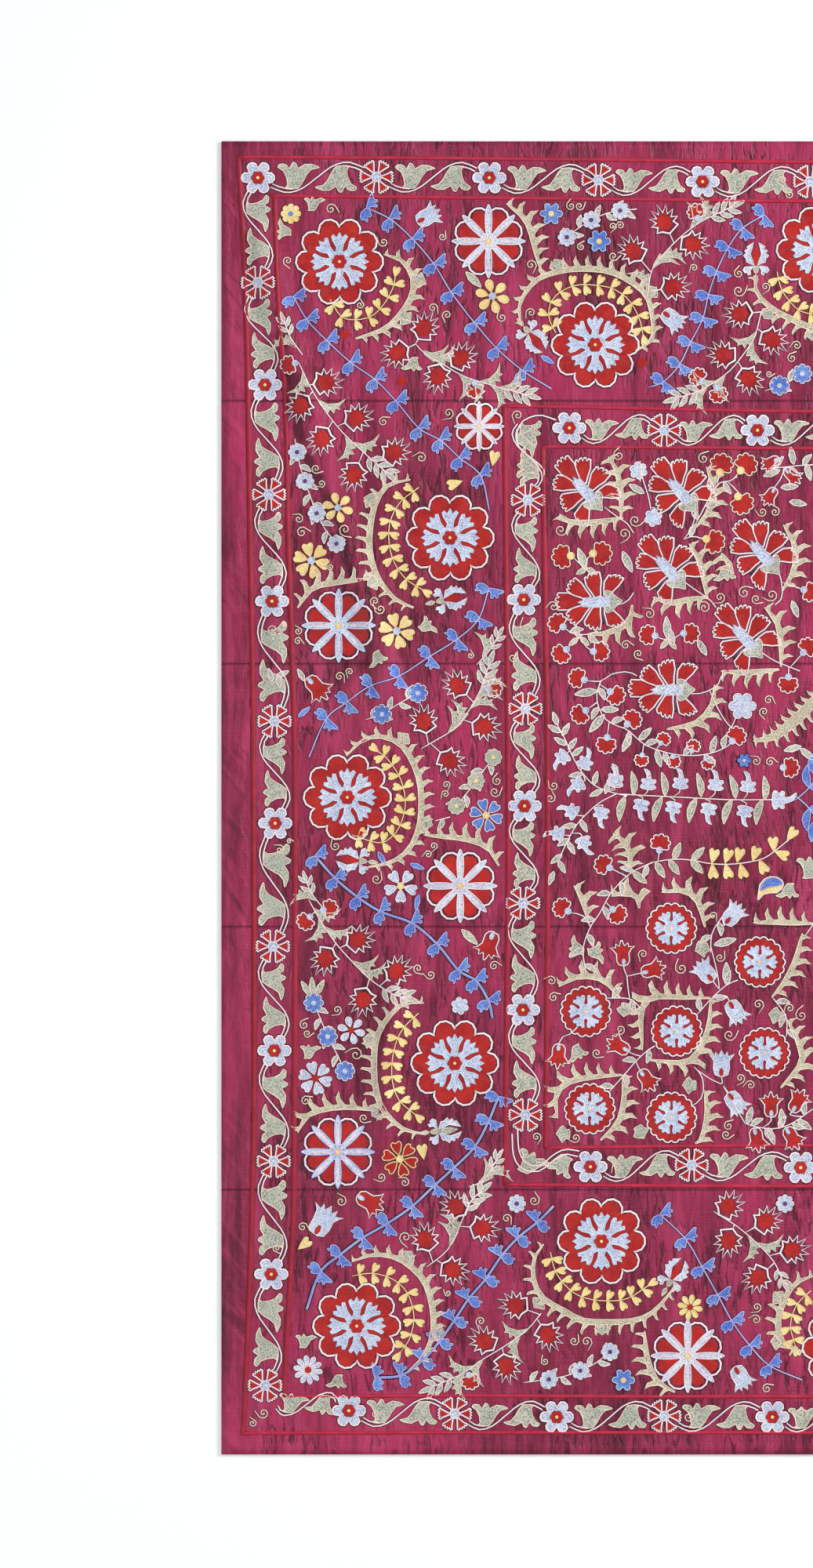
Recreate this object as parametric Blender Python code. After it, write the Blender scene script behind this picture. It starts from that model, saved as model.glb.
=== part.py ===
"""A suzani: five loom widths of crimson silk sewn edge to edge, laid out flat and face up.

The length of the cloth runs along X, the loom widths lie beside each other along Y, and Z is up.
The origin is the middle of the cloth, on the surface that it lies on.
Each loom width is one solid: a thin sheet that rises over the soft folds left in the cloth.
"""

import math

import bmesh
import bpy

# Driving dimensions, in metres.
CLOTH_LENGTH = 2.556
LOOM_WIDTH = 0.402
TOP_HEMMED_WIDTH = 0.397
BOTTOM_HEMMED_WIDTH = 0.405
SEAM_GAP = 0.0003
CLOTH_THICKNESS = 0.0015
HEM_THICKNESS = 0.0025
HEM_WIDTH = 0.014
HEM_STEP = 0.003

# Loom widths from the lower edge of the cloth to the upper one.
PANELS = (
    ("panel_bottom", BOTTOM_HEMMED_WIDTH),
    ("panel_lower", LOOM_WIDTH),
    ("panel_middle", LOOM_WIDTH),
    ("panel_upper", LOOM_WIDTH),
    ("panel_top", TOP_HEMMED_WIDTH),
)
CLOTH_WIDTH = sum(width for _, width in PANELS) + SEAM_GAP * (len(PANELS) - 1)
LEFT_EDGE = -CLOTH_LENGTH / 2
RIGHT_EDGE = CLOTH_LENGTH / 2
LOWER_EDGE = -CLOTH_WIDTH / 2
UPPER_EDGE = CLOTH_WIDTH / 2

# How far apart the rows and columns of a sheet's faces are: close where the cloth is folded.
LEFT_FOLDED_LENGTH = 0.33
RIGHT_FOLDED_LENGTH = 0.20
LEFT_COLUMN_STEP = 0.012
RIGHT_COLUMN_STEP = 0.018
FLAT_COLUMN_STEP = 0.020
ROW_STEP = 0.058

# Soft folds in the cloth, as ridges. A fold runs from one end to the other, and each end is given
# by its distance from the left edge and from the upper edge. A row with side "right" is measured
# from the right edge instead. A ridge fades out over END_FADE of its run at each end.
# side, from_x, from_y, to_x, to_y, width, height
FOLDS = (
    ("left", 0.032, 0.060, 0.172, 0.550, 0.075, 0.0100),
    ("left", 0.150, 0.470, 0.296, 0.960, 0.075, 0.0090),
    ("left", 0.124, 0.200, 0.178, 0.390, 0.040, 0.0045),
    ("left", 0.190, 0.770, 0.224, 0.945, 0.040, 0.0045),
    ("left", 0.276, 1.190, 0.234, 1.610, 0.060, 0.0075),
    ("left", 0.301, 1.200, 0.294, 1.300, 0.036, 0.0040),
    ("left", 0.083, 0.420, 0.080, 0.900, 0.046, 0.0045),
    ("left", 0.014, 0.140, 0.028, 1.000, 0.030, 0.0035),
    ("left", 0.018, 0.820, 0.036, 1.500, 0.040, 0.0045),
    ("left", 0.034, 1.400, 0.018, 1.930, 0.036, 0.0035),
    ("left", 0.118, 1.830, 0.250, 1.945, 0.030, 0.0035),
    ("left", 0.372, 0.300, 0.392, 0.480, 0.050, 0.0030),
    ("left", 0.290, 0.330, 0.345, 0.560, 0.050, 0.0035),
    ("left", 0.440, 0.700, 0.452, 1.050, 0.060, 0.0030),
    ("left", 0.505, 0.800, 0.512, 0.930, 0.060, 0.0035),
    ("left", 0.640, 1.020, 0.648, 1.240, 0.050, 0.0035),
    ("left", 0.560, 1.120, 0.556, 1.420, 0.060, 0.0025),
    ("left", 0.745, 1.080, 0.775, 1.290, 0.060, 0.0030),
    ("left", 0.360, 1.560, 0.410, 1.800, 0.060, 0.0030),
    ("left", 0.820, 0.780, 0.835, 1.160, 0.080, 0.0025),
    ("right", 0.045, 0.250, 0.120, 0.900, 0.070, 0.0060),
    ("right", 0.026, 0.700, 0.030, 1.700, 0.044, 0.0040),
    ("right", 0.330, 0.520, 0.350, 0.980, 0.080, 0.0030),
    ("right", 0.700, 1.000, 0.690, 1.400, 0.090, 0.0025),
)
END_FADE = 0.30


def fold_end(side, from_side, from_top):
    """The point of the cloth at these distances from one of its sides and from its upper edge."""
    x = LEFT_EDGE + from_side if side == "left" else RIGHT_EDGE - from_side
    return x, UPPER_EDGE - from_top


def ease(share):
    """0 at 0 or below, 1 at 1 or above, and level at both."""
    share = min(1.0, max(0.0, share))
    return share * share * (3 - 2 * share)


def ridge_height(x, y, fold):
    """How far one fold lifts the cloth at this point."""
    side, from_x, from_y, to_x, to_y, width, height = fold
    start_x, start_y = fold_end(side, from_x, from_y)
    end_x, end_y = fold_end(side, to_x, to_y)
    run_x, run_y = end_x - start_x, end_y - start_y
    run = math.hypot(run_x, run_y)
    along = ((x - start_x) * run_x + (y - start_y) * run_y) / run**2
    across = ((x - start_x) * run_y - (y - start_y) * run_x) / run
    if not 0 < along < 1 or abs(across) >= width / 2:
        return 0.0
    profile = math.cos(math.pi * across / width) ** 2
    return height * profile * ease(along / END_FADE) * ease((1 - along) / END_FADE)


def lift(x, y):
    """Height of the cloth's underside above the surface that it lies on."""
    return sum(ridge_height(x, y, fold) for fold in FOLDS)


def evenly(start, end, step):
    """Places from start up to but not including end, about a step apart."""
    count = max(1, round((end - start) / step))
    return [start + (end - start) * i / count for i in range(count)]


def column_places():
    """Where the columns of a panel's faces stand along X, the hem's two lines at each side included."""
    hem_left = LEFT_EDGE + HEM_WIDTH
    hem_right = RIGHT_EDGE - HEM_WIDTH
    folded_left = LEFT_EDGE + LEFT_FOLDED_LENGTH
    folded_right = RIGHT_EDGE - RIGHT_FOLDED_LENGTH
    return (
        [LEFT_EDGE, hem_left]
        + evenly(hem_left + HEM_STEP, folded_left, LEFT_COLUMN_STEP)
        + evenly(folded_left, folded_right, FLAT_COLUMN_STEP)
        + evenly(folded_right, hem_right - HEM_STEP, RIGHT_COLUMN_STEP)
        + [hem_right - HEM_STEP, hem_right, RIGHT_EDGE]
    )


def row_places(low, high):
    """Where the rows of a panel's faces lie along Y, with the hem's two lines on an outer panel."""
    first, last = [], [high]
    if low == LOWER_EDGE:
        first = [low, low + HEM_WIDTH]
        low += HEM_WIDTH + HEM_STEP
    if math.isclose(high, UPPER_EDGE):
        high -= HEM_WIDTH + HEM_STEP
        last = [high, high + HEM_STEP, last[0]]
    return first + evenly(low, high, ROW_STEP) + last


def thickness_at(x, y):
    """The cloth is doubled in the hem, which is turned under all round."""
    from_edge = min(x - LEFT_EDGE, RIGHT_EDGE - x, y - LOWER_EDGE, UPPER_EDGE - y)
    return HEM_THICKNESS if from_edge < HEM_WIDTH + HEM_STEP / 2 else CLOTH_THICKNESS


def silk_material():
    material = bpy.data.materials.new("crimson_silk")
    material.use_nodes = True
    shader = material.node_tree.nodes["Principled BSDF"]
    shader.inputs["Base Color"].default_value = (0.28, 0.037, 0.078, 1)
    shader.inputs["Roughness"].default_value = 0.45
    shader.inputs["Metallic"].default_value = 0.0
    shader.inputs["Sheen Weight"].default_value = 0.3
    return material


def loom_width(name, low, high, material, collection):
    """One loom width from low to high along Y: its underside lies over the folds, and its thickness is upright."""
    columns, rows = column_places(), row_places(low, high)
    shape = bmesh.new()
    bmesh.ops.create_grid(
        shape, x_segments=len(columns) - 1, y_segments=len(rows) - 1, size=1
    )
    for vertex in shape.verts:
        column = round((vertex.co.x + 1) / 2 * (len(columns) - 1))
        row = round((vertex.co.y + 1) / 2 * (len(rows) - 1))
        x, y = columns[column], rows[row]
        vertex.co = (x, y, lift(x, y))
    raised = bmesh.ops.extrude_face_region(
        shape, geom=list(shape.faces), use_keep_orig=True
    )
    for vertex in raised["geom"]:
        if isinstance(vertex, bmesh.types.BMVert):
            vertex.co.z += thickness_at(vertex.co.x, vertex.co.y)
    bmesh.ops.recalc_face_normals(shape, faces=list(shape.faces))
    mesh = bpy.data.meshes.new(name)
    shape.to_mesh(mesh)
    shape.free()
    mesh.materials.append(material)
    panel = bpy.data.objects.new(name, mesh)
    collection.objects.link(panel)
    return panel


def main():
    for old in list(bpy.data.objects):
        bpy.data.objects.remove(old)
    collection = bpy.data.collections.new("suzani")
    bpy.context.scene.collection.children.link(collection)
    silk = silk_material()
    low = LOWER_EDGE
    for name, width in PANELS:
        loom_width(name, low, low + width, silk, collection)
        low += width + SEAM_GAP


main()
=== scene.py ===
"""Looks of a suzani: five loom widths of crimson silk, laid out flat, embroidered in chain stitch."""

import math

import bpy
import numpy as np
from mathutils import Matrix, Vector, geometry


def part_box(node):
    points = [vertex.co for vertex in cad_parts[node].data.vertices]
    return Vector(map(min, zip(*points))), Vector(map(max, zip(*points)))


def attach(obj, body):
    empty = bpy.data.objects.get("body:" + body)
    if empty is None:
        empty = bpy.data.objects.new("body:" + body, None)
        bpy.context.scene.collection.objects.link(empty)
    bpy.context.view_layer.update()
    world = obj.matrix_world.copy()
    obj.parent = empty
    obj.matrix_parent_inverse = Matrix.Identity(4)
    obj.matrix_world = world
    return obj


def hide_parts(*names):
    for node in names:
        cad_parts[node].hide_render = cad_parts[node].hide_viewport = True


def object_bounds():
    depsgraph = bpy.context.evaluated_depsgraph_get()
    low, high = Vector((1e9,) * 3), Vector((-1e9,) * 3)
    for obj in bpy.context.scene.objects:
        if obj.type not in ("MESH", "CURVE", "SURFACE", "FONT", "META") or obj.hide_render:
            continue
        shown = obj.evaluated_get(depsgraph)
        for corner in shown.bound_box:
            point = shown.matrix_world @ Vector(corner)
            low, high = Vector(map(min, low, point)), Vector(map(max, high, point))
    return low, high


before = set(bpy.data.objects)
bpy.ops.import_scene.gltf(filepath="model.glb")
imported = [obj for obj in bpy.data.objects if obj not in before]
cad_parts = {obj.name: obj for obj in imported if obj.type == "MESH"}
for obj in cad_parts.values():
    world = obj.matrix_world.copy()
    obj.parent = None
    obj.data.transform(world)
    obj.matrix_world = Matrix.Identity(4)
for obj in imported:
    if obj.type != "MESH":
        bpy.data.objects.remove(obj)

cad_low, cad_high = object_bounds()

# ---- the cloth's own sizes, in metres

LEFT_EDGE, LOWER_EDGE = cad_low.x, cad_low.y
RIGHT_EDGE, UPPER_EDGE = cad_high.x, cad_high.y
SHEET = 0.0009  # thickness of the silk with its backing threads
HEM_WIDTH = 0.014
HEM_STEP = 0.012  # where the hem's surface starts to come down
HEM_RISE = 0.0007  # how much higher the turned-under hem stands
SEAM_DIP = 0.0007  # the sewn edges of a loom width pull down by this much
SEAM_REACH = 0.004
COLUMN_STEP = 0.0065
ROW_STEP = 0.016
SEAM_GAP = 0.0001  # between the sewn edges, which meet in the seam

PANELS = ("panel_bottom", "panel_lower", "panel_middle", "panel_upper", "panel_top")

# The photograph shows the cloth face on, with so much cloth to one of its pixels. Places on the
# cloth are named by the photograph's pixels, across and down, and sizes are in millimetres.
PIXEL = 0.0012
PHOTO_SIZE = (1037, 2000)
PHOTO_CLOTH_LEFT = 282.5
PHOTO_CLOTH_MIDDLE = 1017.75  # the height of the cloth's middle line
PHOTO_MIDDLE = PHOTO_CLOTH_LEFT + (RIGHT_EDGE - LEFT_EDGE) / PIXEL / 2  # its middle, from left to right


def drawn(places):
    """Places of the photograph, in millimetres from the cloth's upper left corner, across and down."""
    places = np.asarray(places, float)
    top = PHOTO_CLOTH_MIDDLE - (UPPER_EDGE - LOWER_EDGE) / 2 / PIXEL
    return (places - (PHOTO_CLOTH_LEFT, top)) * PIXEL * 1000


# ---- how the cloth lies

# Soft folds, as ridges. Ends are given by their distance from a side edge and from the upper edge.
# side, from_x, from_y, to_x, to_y, width, height
FOLDS = (
    ("left", 0.032, 0.060, 0.172, 0.550, 0.075, 0.0100),
    ("left", 0.150, 0.470, 0.296, 0.960, 0.075, 0.0090),
    ("left", 0.124, 0.200, 0.178, 0.390, 0.040, 0.0045),
    ("left", 0.190, 0.770, 0.224, 0.945, 0.040, 0.0045),
    ("left", 0.276, 1.190, 0.234, 1.610, 0.060, 0.0075),
    ("left", 0.301, 1.200, 0.294, 1.300, 0.036, 0.0040),
    ("left", 0.083, 0.420, 0.080, 0.900, 0.046, 0.0045),
    ("left", 0.014, 0.140, 0.028, 1.000, 0.030, 0.0035),
    ("left", 0.018, 0.820, 0.036, 1.500, 0.040, 0.0045),
    ("left", 0.034, 1.400, 0.018, 1.930, 0.036, 0.0035),
    ("left", 0.118, 1.830, 0.250, 1.945, 0.030, 0.0035),
    ("left", 0.372, 0.300, 0.392, 0.480, 0.050, 0.0030),
    ("left", 0.290, 0.330, 0.345, 0.560, 0.050, 0.0035),
    ("left", 0.440, 0.700, 0.452, 1.050, 0.060, 0.0030),
    ("left", 0.505, 0.800, 0.512, 0.930, 0.060, 0.0035),
    ("left", 0.640, 1.020, 0.648, 1.240, 0.050, 0.0035),
    ("left", 0.560, 1.120, 0.556, 1.420, 0.060, 0.0025),
    ("left", 0.745, 1.080, 0.775, 1.290, 0.060, 0.0030),
    ("left", 0.360, 1.560, 0.410, 1.800, 0.060, 0.0030),
    ("left", 0.820, 0.780, 0.835, 1.160, 0.080, 0.0025),
    ("right", 0.045, 0.250, 0.120, 0.900, 0.070, 0.0060),
    ("right", 0.026, 0.700, 0.030, 1.700, 0.044, 0.0040),
    ("right", 0.330, 0.520, 0.350, 0.980, 0.080, 0.0030),
    ("right", 0.700, 1.000, 0.690, 1.400, 0.090, 0.0025),
)
# Share of the run of a fold or a crease over which it fades out at each end.
FOLD_FADE = 0.30
CREASE_FADE = 0.40

# Short creases in the plain margins and beside the seams, as troughs, on the photograph.
# from_x, from_y, to_x, to_y, width, depth
CREASES = (
    (292, 184, 318, 204, 0.008, 0.0012),
    (443, 184, 456, 206, 0.010, 0.0014),
    (462, 184, 474, 204, 0.008, 0.0010),
    (383, 184, 398, 203, 0.008, 0.0009),
    (566, 183, 571, 204, 0.007, 0.0009),
    (626, 184, 632, 198, 0.007, 0.0009),
    (696, 184, 712, 206, 0.012, 0.0016),
    (706, 200, 716, 186, 0.008, 0.0012),
    (790, 196, 832, 206, 0.010, 0.0014),
    (798, 190, 826, 203, 0.007, 0.0010),
    (884, 184, 886, 198, 0.007, 0.0009),
    (973, 186, 976, 204, 0.008, 0.0012),
    (305, 1853, 316, 1836, 0.010, 0.0014),
    (286, 1851, 322, 1822, 0.012, 0.0016),
    (300, 1800, 318, 1728, 0.012, 0.0018),
    (296, 1768, 300, 1760, 0.010, 0.0010),
    (640, 1826, 632, 1850, 0.010, 0.0014),
    (652, 1828, 648, 1850, 0.009, 0.0012),
    (752, 1830, 742, 1852, 0.012, 0.0014),
    (768, 1826, 778, 1848, 0.010, 0.0014),
    (300, 865, 322, 920, 0.010, 0.0015),
    (292, 856, 306, 905, 0.008, 0.0012),
    (288, 980, 322, 1008, 0.008, 0.0010),
    (308, 985, 318, 1010, 0.010, 0.0012),
    (300, 700, 303, 720, 0.008, 0.0012),
    (306, 1280, 312, 1395, 0.010, 0.0014),
    (318, 1408, 322, 1440, 0.012, 0.0020),
    (311, 1560, 314, 1580, 0.008, 0.0010),
    (304, 1420, 318, 1470, 0.010, 0.0012),
    (440, 1490, 446, 1514, 0.009, 0.0012),
    (540, 1530, 546, 1560, 0.010, 0.0014),
    (690, 1205, 698, 1225, 0.010, 0.0014),
    (794, 1528, 797, 1556, 0.009, 0.0014),
    (497, 360, 500, 392, 0.010, 0.0012),
    (513, 842, 517, 880, 0.010, 0.0014),
    (452, 930, 456, 960, 0.012, 0.0014),
    (440, 750, 452, 775, 0.010, 0.0014),
    (430, 720, 470, 740, 0.010, 0.0012),
    (634, 820, 638, 846, 0.010, 0.0014),
)


def ease(share):
    """0 at 0 or below, 1 at 1 or above, and level at both."""
    share = np.clip(share, 0, 1)
    return share * share * (3 - 2 * share)


def ridge(x, y, start, end, width, fade):
    """1 on the middle of a straight run from start to end, down to 0 at its sides and its ends."""
    (start_x, start_y), (end_x, end_y) = start, end
    run_x, run_y = end_x - start_x, end_y - start_y
    run = math.hypot(run_x, run_y)
    along = ((x - start_x) * run_x + (y - start_y) * run_y) / run**2
    across = ((x - start_x) * run_y - (y - start_y) * run_x) / run
    profile = np.cos(math.pi * np.clip(across / width, -0.5, 0.5)) ** 2
    return profile * ease(along / fade) * ease((1 - along) / fade)


def between_corners(table, row, column, up, right):
    """A table's values between its rows and columns, at these shares of the way to the next ones."""
    lower = table[row, column] * (1 - right) + table[row, column + 1] * right
    upper = table[row + 1, column] * (1 - right) + table[row + 1, column + 1] * right
    return lower * (1 - up) + upper * up


class Unevenness:
    """Seeded smooth unevenness from -1 to 1, with lumps of about a given length and height."""

    def __init__(self, seed, length, height):
        self.length, self.height = length, height
        columns = int((RIGHT_EDGE - LEFT_EDGE) / length) + 4
        rows = int((UPPER_EDGE - LOWER_EDGE) / height) + 4
        self.lattice = np.random.RandomState(seed).uniform(-1, 1, (rows, columns))

    def __call__(self, x, y):
        column = (np.asarray(x) - LEFT_EDGE) / self.length + 1
        row = (np.asarray(y) - LOWER_EDGE) / self.height + 1
        left = np.clip(np.floor(column).astype(int), 0, self.lattice.shape[1] - 2)
        low = np.clip(np.floor(row).astype(int), 0, self.lattice.shape[0] - 2)
        return between_corners(self.lattice, low, left, ease(row - low), ease(column - left))


broad_swell = Unevenness(seed=11, length=0.110, height=0.170)
upright_pucker = Unevenness(seed=12, length=0.0125, height=0.050)
fine_pucker = Unevenness(seed=13, length=0.0075, height=0.026)
pucker_places = Unevenness(seed=14, length=0.070, height=0.060)

SEAM_LINES = tuple((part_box(a)[1].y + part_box(b)[0].y) / 2 for a, b in zip(PANELS, PANELS[1:]))


def fold_lift(x, y):
    total = np.zeros(np.shape(x))
    for side, from_x, from_y, to_x, to_y, width, height in FOLDS:
        edge, way = (LEFT_EDGE, 1) if side == "left" else (RIGHT_EDGE, -1)
        start = (edge + way * from_x, UPPER_EDGE - from_y)
        end = (edge + way * to_x, UPPER_EDGE - to_y)
        total += height * ridge(x, y, start, end, width, FOLD_FADE)
    return total


def from_seam(y):
    """Distance to the nearest seam between two loom widths."""
    return np.min([np.abs(y - line) for line in SEAM_LINES], axis=0)


def from_edge(x, y):
    """Distance to the cloth's nearest edge."""
    return np.minimum(
        np.minimum(x - LEFT_EDGE, RIGHT_EDGE - x), np.minimum(y - LOWER_EDGE, UPPER_EDGE - y)
    )


def crease_depth(x, y):
    total = np.zeros(np.shape(x))
    for from_x, from_y, to_x, to_y, width, depth in CREASES:
        start, end = on_cloth(drawn([(from_x, from_y), (to_x, to_y)]))
        total += depth * ridge(x, y, start, end, width, CREASE_FADE)
    return total


def on_cloth(points):
    """World x and y of points drawn in millimetres from the upper left corner."""
    return np.column_stack([LEFT_EDGE + points[:, 0] / 1000, UPPER_EDGE - points[:, 1] / 1000])


UPRIGHT_PUCKER_RISE = 0.00045
FINE_PUCKER_RISE = 0.00022
SWELL_RISE = 0.0007
SEAM_PUCKER_REACH = 0.028  # how far from a seam the silk puckers more
CALM_EDGE = 0.03  # how far from the cloth's edge it starts to lie flatter
LYING_RISE = 0.0006  # of slack silk above the surface it lies on
LEAST_RISE = 0.0001


def cloth_top(x, y):
    """Height of the silk's upper side."""
    by_seam = np.exp(-((from_seam(y) / SEAM_PUCKER_REACH) ** 2))
    lively = 0.55 + 0.45 * pucker_places(x, y) + 0.9 * by_seam
    puckers = UPRIGHT_PUCKER_RISE * upright_pucker(x, y) + FINE_PUCKER_RISE * fine_pucker(x, y)
    swell = SWELL_RISE * (1 + broad_swell(x, y))
    inland = ease(from_edge(x, y) / CALM_EDGE)
    hem = HEM_RISE * ease((HEM_WIDTH - from_edge(x, y)) / (HEM_WIDTH - HEM_STEP))
    seam = SEAM_DIP * (1 - ease(from_seam(y) / SEAM_REACH))
    relief = puckers * np.maximum(lively, 0.15) * (0.35 + 0.65 * inland) + swell * inland
    relief = np.maximum(relief + LYING_RISE + hem - crease_depth(x, y), LEAST_RISE)
    return SHEET + fold_lift(x, y) + relief - seam * 0.5


# ---- drawing with needle and thread

LINE = 3.6  # half the width of a line of chain stitch with its shadow, in millimetres
FINE_LINE = 2.7
# From a red filling to the middle of the pale line round it, as a share of half the line's width.
SILK_GAP = 0.72
PALE_INNER = 0.55  # how wide a line is inwards, where it bounds a pale filling
LINE_RISE = 1.0  # how far a line stands up from the silk
FILL_RISE = 0.45
LAYER_RISE = 0.40  # each filling that is worked over another one
SUNK = -0.15  # how deep the stitches' rims lie in the silk
FILL_SPACING = 8.0  # between points inside a filling
LONGEST_STEP = 10.0  # of a line's segments
MOST_TURN = math.radians(33)  # between a line's segments
WIDEST_CORNER = 1.25  # of a line, as a share of its width

# The seen part of the pattern mirrors about the cloth's middle. The upper and lower strips of the
# wide border between two rosettes are worked once more, mirrored about these lines of the photograph.
UPPER_STRIP = (262, 512)
LOWER_STRIP = (1520, 1772)
STRIP_LEFT, STRIP_RIGHT = 745, 1000
FIRST_ROSETTE_RIGHT = 770  # the rosette that stands further left is copied onto the middle line
UPPER_STRIP_MIRROR = (758 + PHOTO_MIDDLE) / 2
LOWER_STRIP_MIRROR = (767 + PHOTO_MIDDLE) / 2


def mirror_about(photo_x):
    """A way of working a motif again, mirrored left to right about this line of the photograph."""
    line = drawn([(photo_x, 0)])[0, 0]
    return (-1, 2 * line)


AS_DRAWN = (1, 0)
OTHER_HALF = mirror_about(PHOTO_MIDDLE)


def both(first, second):
    """One way of working again after another."""
    return (first[0] * second[0], second[0] * first[1] + second[1])


def workings(photo_x, photo_y):
    """How often, and where, the motif at this place of the photograph is worked on the whole cloth."""
    if abs(photo_x - PHOTO_MIDDLE) < 1:
        return [AS_DRAWN]
    for (top, bottom), line in ((UPPER_STRIP, UPPER_STRIP_MIRROR), (LOWER_STRIP, LOWER_STRIP_MIRROR)):
        if top < photo_y < bottom and STRIP_LEFT < photo_x < STRIP_RIGHT:
            again = mirror_about(line)
            if photo_x < FIRST_ROSETTE_RIGHT:
                return [AS_DRAWN, OTHER_HALF, again]
            return [AS_DRAWN, OTHER_HALF, again, both(again, OTHER_HALF)]
    return [AS_DRAWN, OTHER_HALF]


class Needlework:
    """Collects every stitched line and filling by thread, as loose arrays."""

    def __init__(self):
        self.stitched = {}
        self.ways = [AS_DRAWN]

    def add(self, thread, worked, points, rises, faces, stitch):
        for way, shift in self.ways:
            moved = points * (way, 1) + (shift, 0)
            # Drawing is across and down, so a face that isn't mirrored is turned over on the cloth.
            turned = faces[:, ::-1] if way > 0 else faces
            self.stitched.setdefault((thread, worked), []).append((moved, rises, turned, stitch))


work = Needlework()


def through(points, closed=False, step=1.2):
    """A smooth curve through the points, as a dense run of points."""
    points = np.asarray(points, float)
    if closed:
        before, start, end, after = (np.roll(points, k, axis=0) for k in (1, 0, -1, -2))
    else:
        held = np.vstack([2 * points[0] - points[1], points, 2 * points[-1] - points[-2]])
        before, start, end, after = held[:-3], held[1:-2], held[2:-1], held[3:]
    run = []
    for p, a, b, n in zip(before, start, end, after):
        share = np.linspace(0, 1, max(2, math.ceil(np.hypot(*(b - a)) / step)), endpoint=False)[:, None]
        run.append(
            0.5 * (2 * a + (b - p) * share + (2 * p - 5 * a + 4 * b - n) * share**2
                   + (3 * a - p - 3 * b + n) * share**3)
        )
    return np.vstack(run + ([] if closed else [points[-1:]]))


def lean(points, closed):
    """The run with only the points that its bends and LONGEST_STEP need."""
    kept, last, last_angle = [points[0]], points[0], None
    count = len(points)
    for i in range(1, count if closed else count - 1):
        ahead = points[(i + 1) % count] - points[i]
        length = math.hypot(*ahead)
        if length < 1e-6:
            continue
        angle = math.atan2(ahead[1], ahead[0])
        if last_angle is None:
            behind = points[i] - last
            last_angle = math.atan2(behind[1], behind[0])
        bend = abs((angle - last_angle + math.pi) % (2 * math.pi) - math.pi)
        if bend > MOST_TURN or math.hypot(*(points[i] - last)) > LONGEST_STEP:
            kept.append(points[i])
            last, last_angle = points[i], angle
    if not closed:
        kept.append(points[-1])
    return np.array(kept)


def clockwise(run):
    """Whether the closed run turns clockwise on the photograph."""
    x, y = run[:, 0], run[:, 1]
    return (x * np.roll(y, -1) - y * np.roll(x, -1)).sum() > 0


def line(points, thread, closed=False, half_width=LINE, layer=0, inner=1.0):
    """A line of chain stitch with its shadow, as a ridge with a closed underside.

    inner is how wide it is towards the inside of a closed run, as a share of its width outwards.
    """
    run = lean(np.asarray(points, float), closed)
    if len(run) < (3 if closed else 2):
        return
    if closed:
        run = np.vstack([run, run[:1]])
    steps = np.diff(run, axis=0)
    lengths = np.maximum(np.hypot(steps[:, 0], steps[:, 1]), 1e-6)
    ways = steps / lengths[:, None]
    if closed:
        into, out = np.vstack([ways[-1:], ways]), np.vstack([ways, ways[:1]])
    else:
        into, out = np.vstack([ways[:1], ways]), np.vstack([ways, ways[-1:]])
    along = into + out
    size = np.maximum(np.hypot(along[:, 0], along[:, 1]), 0.9)  # so that a sharp corner isn't drawn out
    along = along / size[:, None]
    corner = np.minimum(2 / size, WIDEST_CORNER)[:, None]
    side = np.column_stack([-along[:, 1], along[:, 0]]) * corner * half_width
    count = len(run)
    first, last = (inner, 1.0) if clockwise(run) else (1.0, inner)
    places = np.concatenate([run + side * first, run, run - side * last])
    rises = np.repeat([SUNK, LINE_RISE + LAYER_RISE * layer, SUNK], count)
    along_line = np.tile(np.concatenate([[0], np.cumsum(lengths)]), 3)
    stitch = np.column_stack([along_line, np.repeat([-first, 0, last], count)])
    here = np.arange(count - 1)
    there = here + 1
    left, ridge_top, right = 0, count, 2 * count

    def band(a, b):
        return np.vstack([
            np.column_stack([a + here, b + here, b + there]),
            np.column_stack([a + here, b + there, a + there]),
        ])

    faces = [band(left, ridge_top), band(ridge_top, right), band(right, left)]
    if not closed:
        end = count - 1
        faces.append([[left, right, ridge_top], [left + end, ridge_top + end, right + end]])
    work.add(thread, "line", places, rises, np.vstack(faces), stitch)


def inside(points, outline):
    """Which points lie inside the closed outline."""
    x, y = points[:, 0][:, None], points[:, 1][:, None]
    x0, y0 = outline[:, 0], outline[:, 1]
    x1, y1 = np.roll(x0, -1), np.roll(y0, -1)
    level = np.where(y1 == y0, 1e-9, y1 - y0)
    crossing = ((y0 > y) != (y1 > y)) & (x < (x1 - x0) * (y - y0) / level + x0)
    return crossing.sum(axis=1) % 2 == 1


def off_outline(points, outline):
    """Distance from each point to the closed outline."""
    start, step = outline, np.roll(outline, -1, axis=0) - outline
    away = points[:, None, :] - start[None]
    share = np.clip((away * step).sum(2) / np.maximum((step * step).sum(1), 1e-9), 0, 1)
    return np.hypot(*np.moveaxis(away - share[..., None] * step, 2, 0)).min(axis=1)


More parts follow.
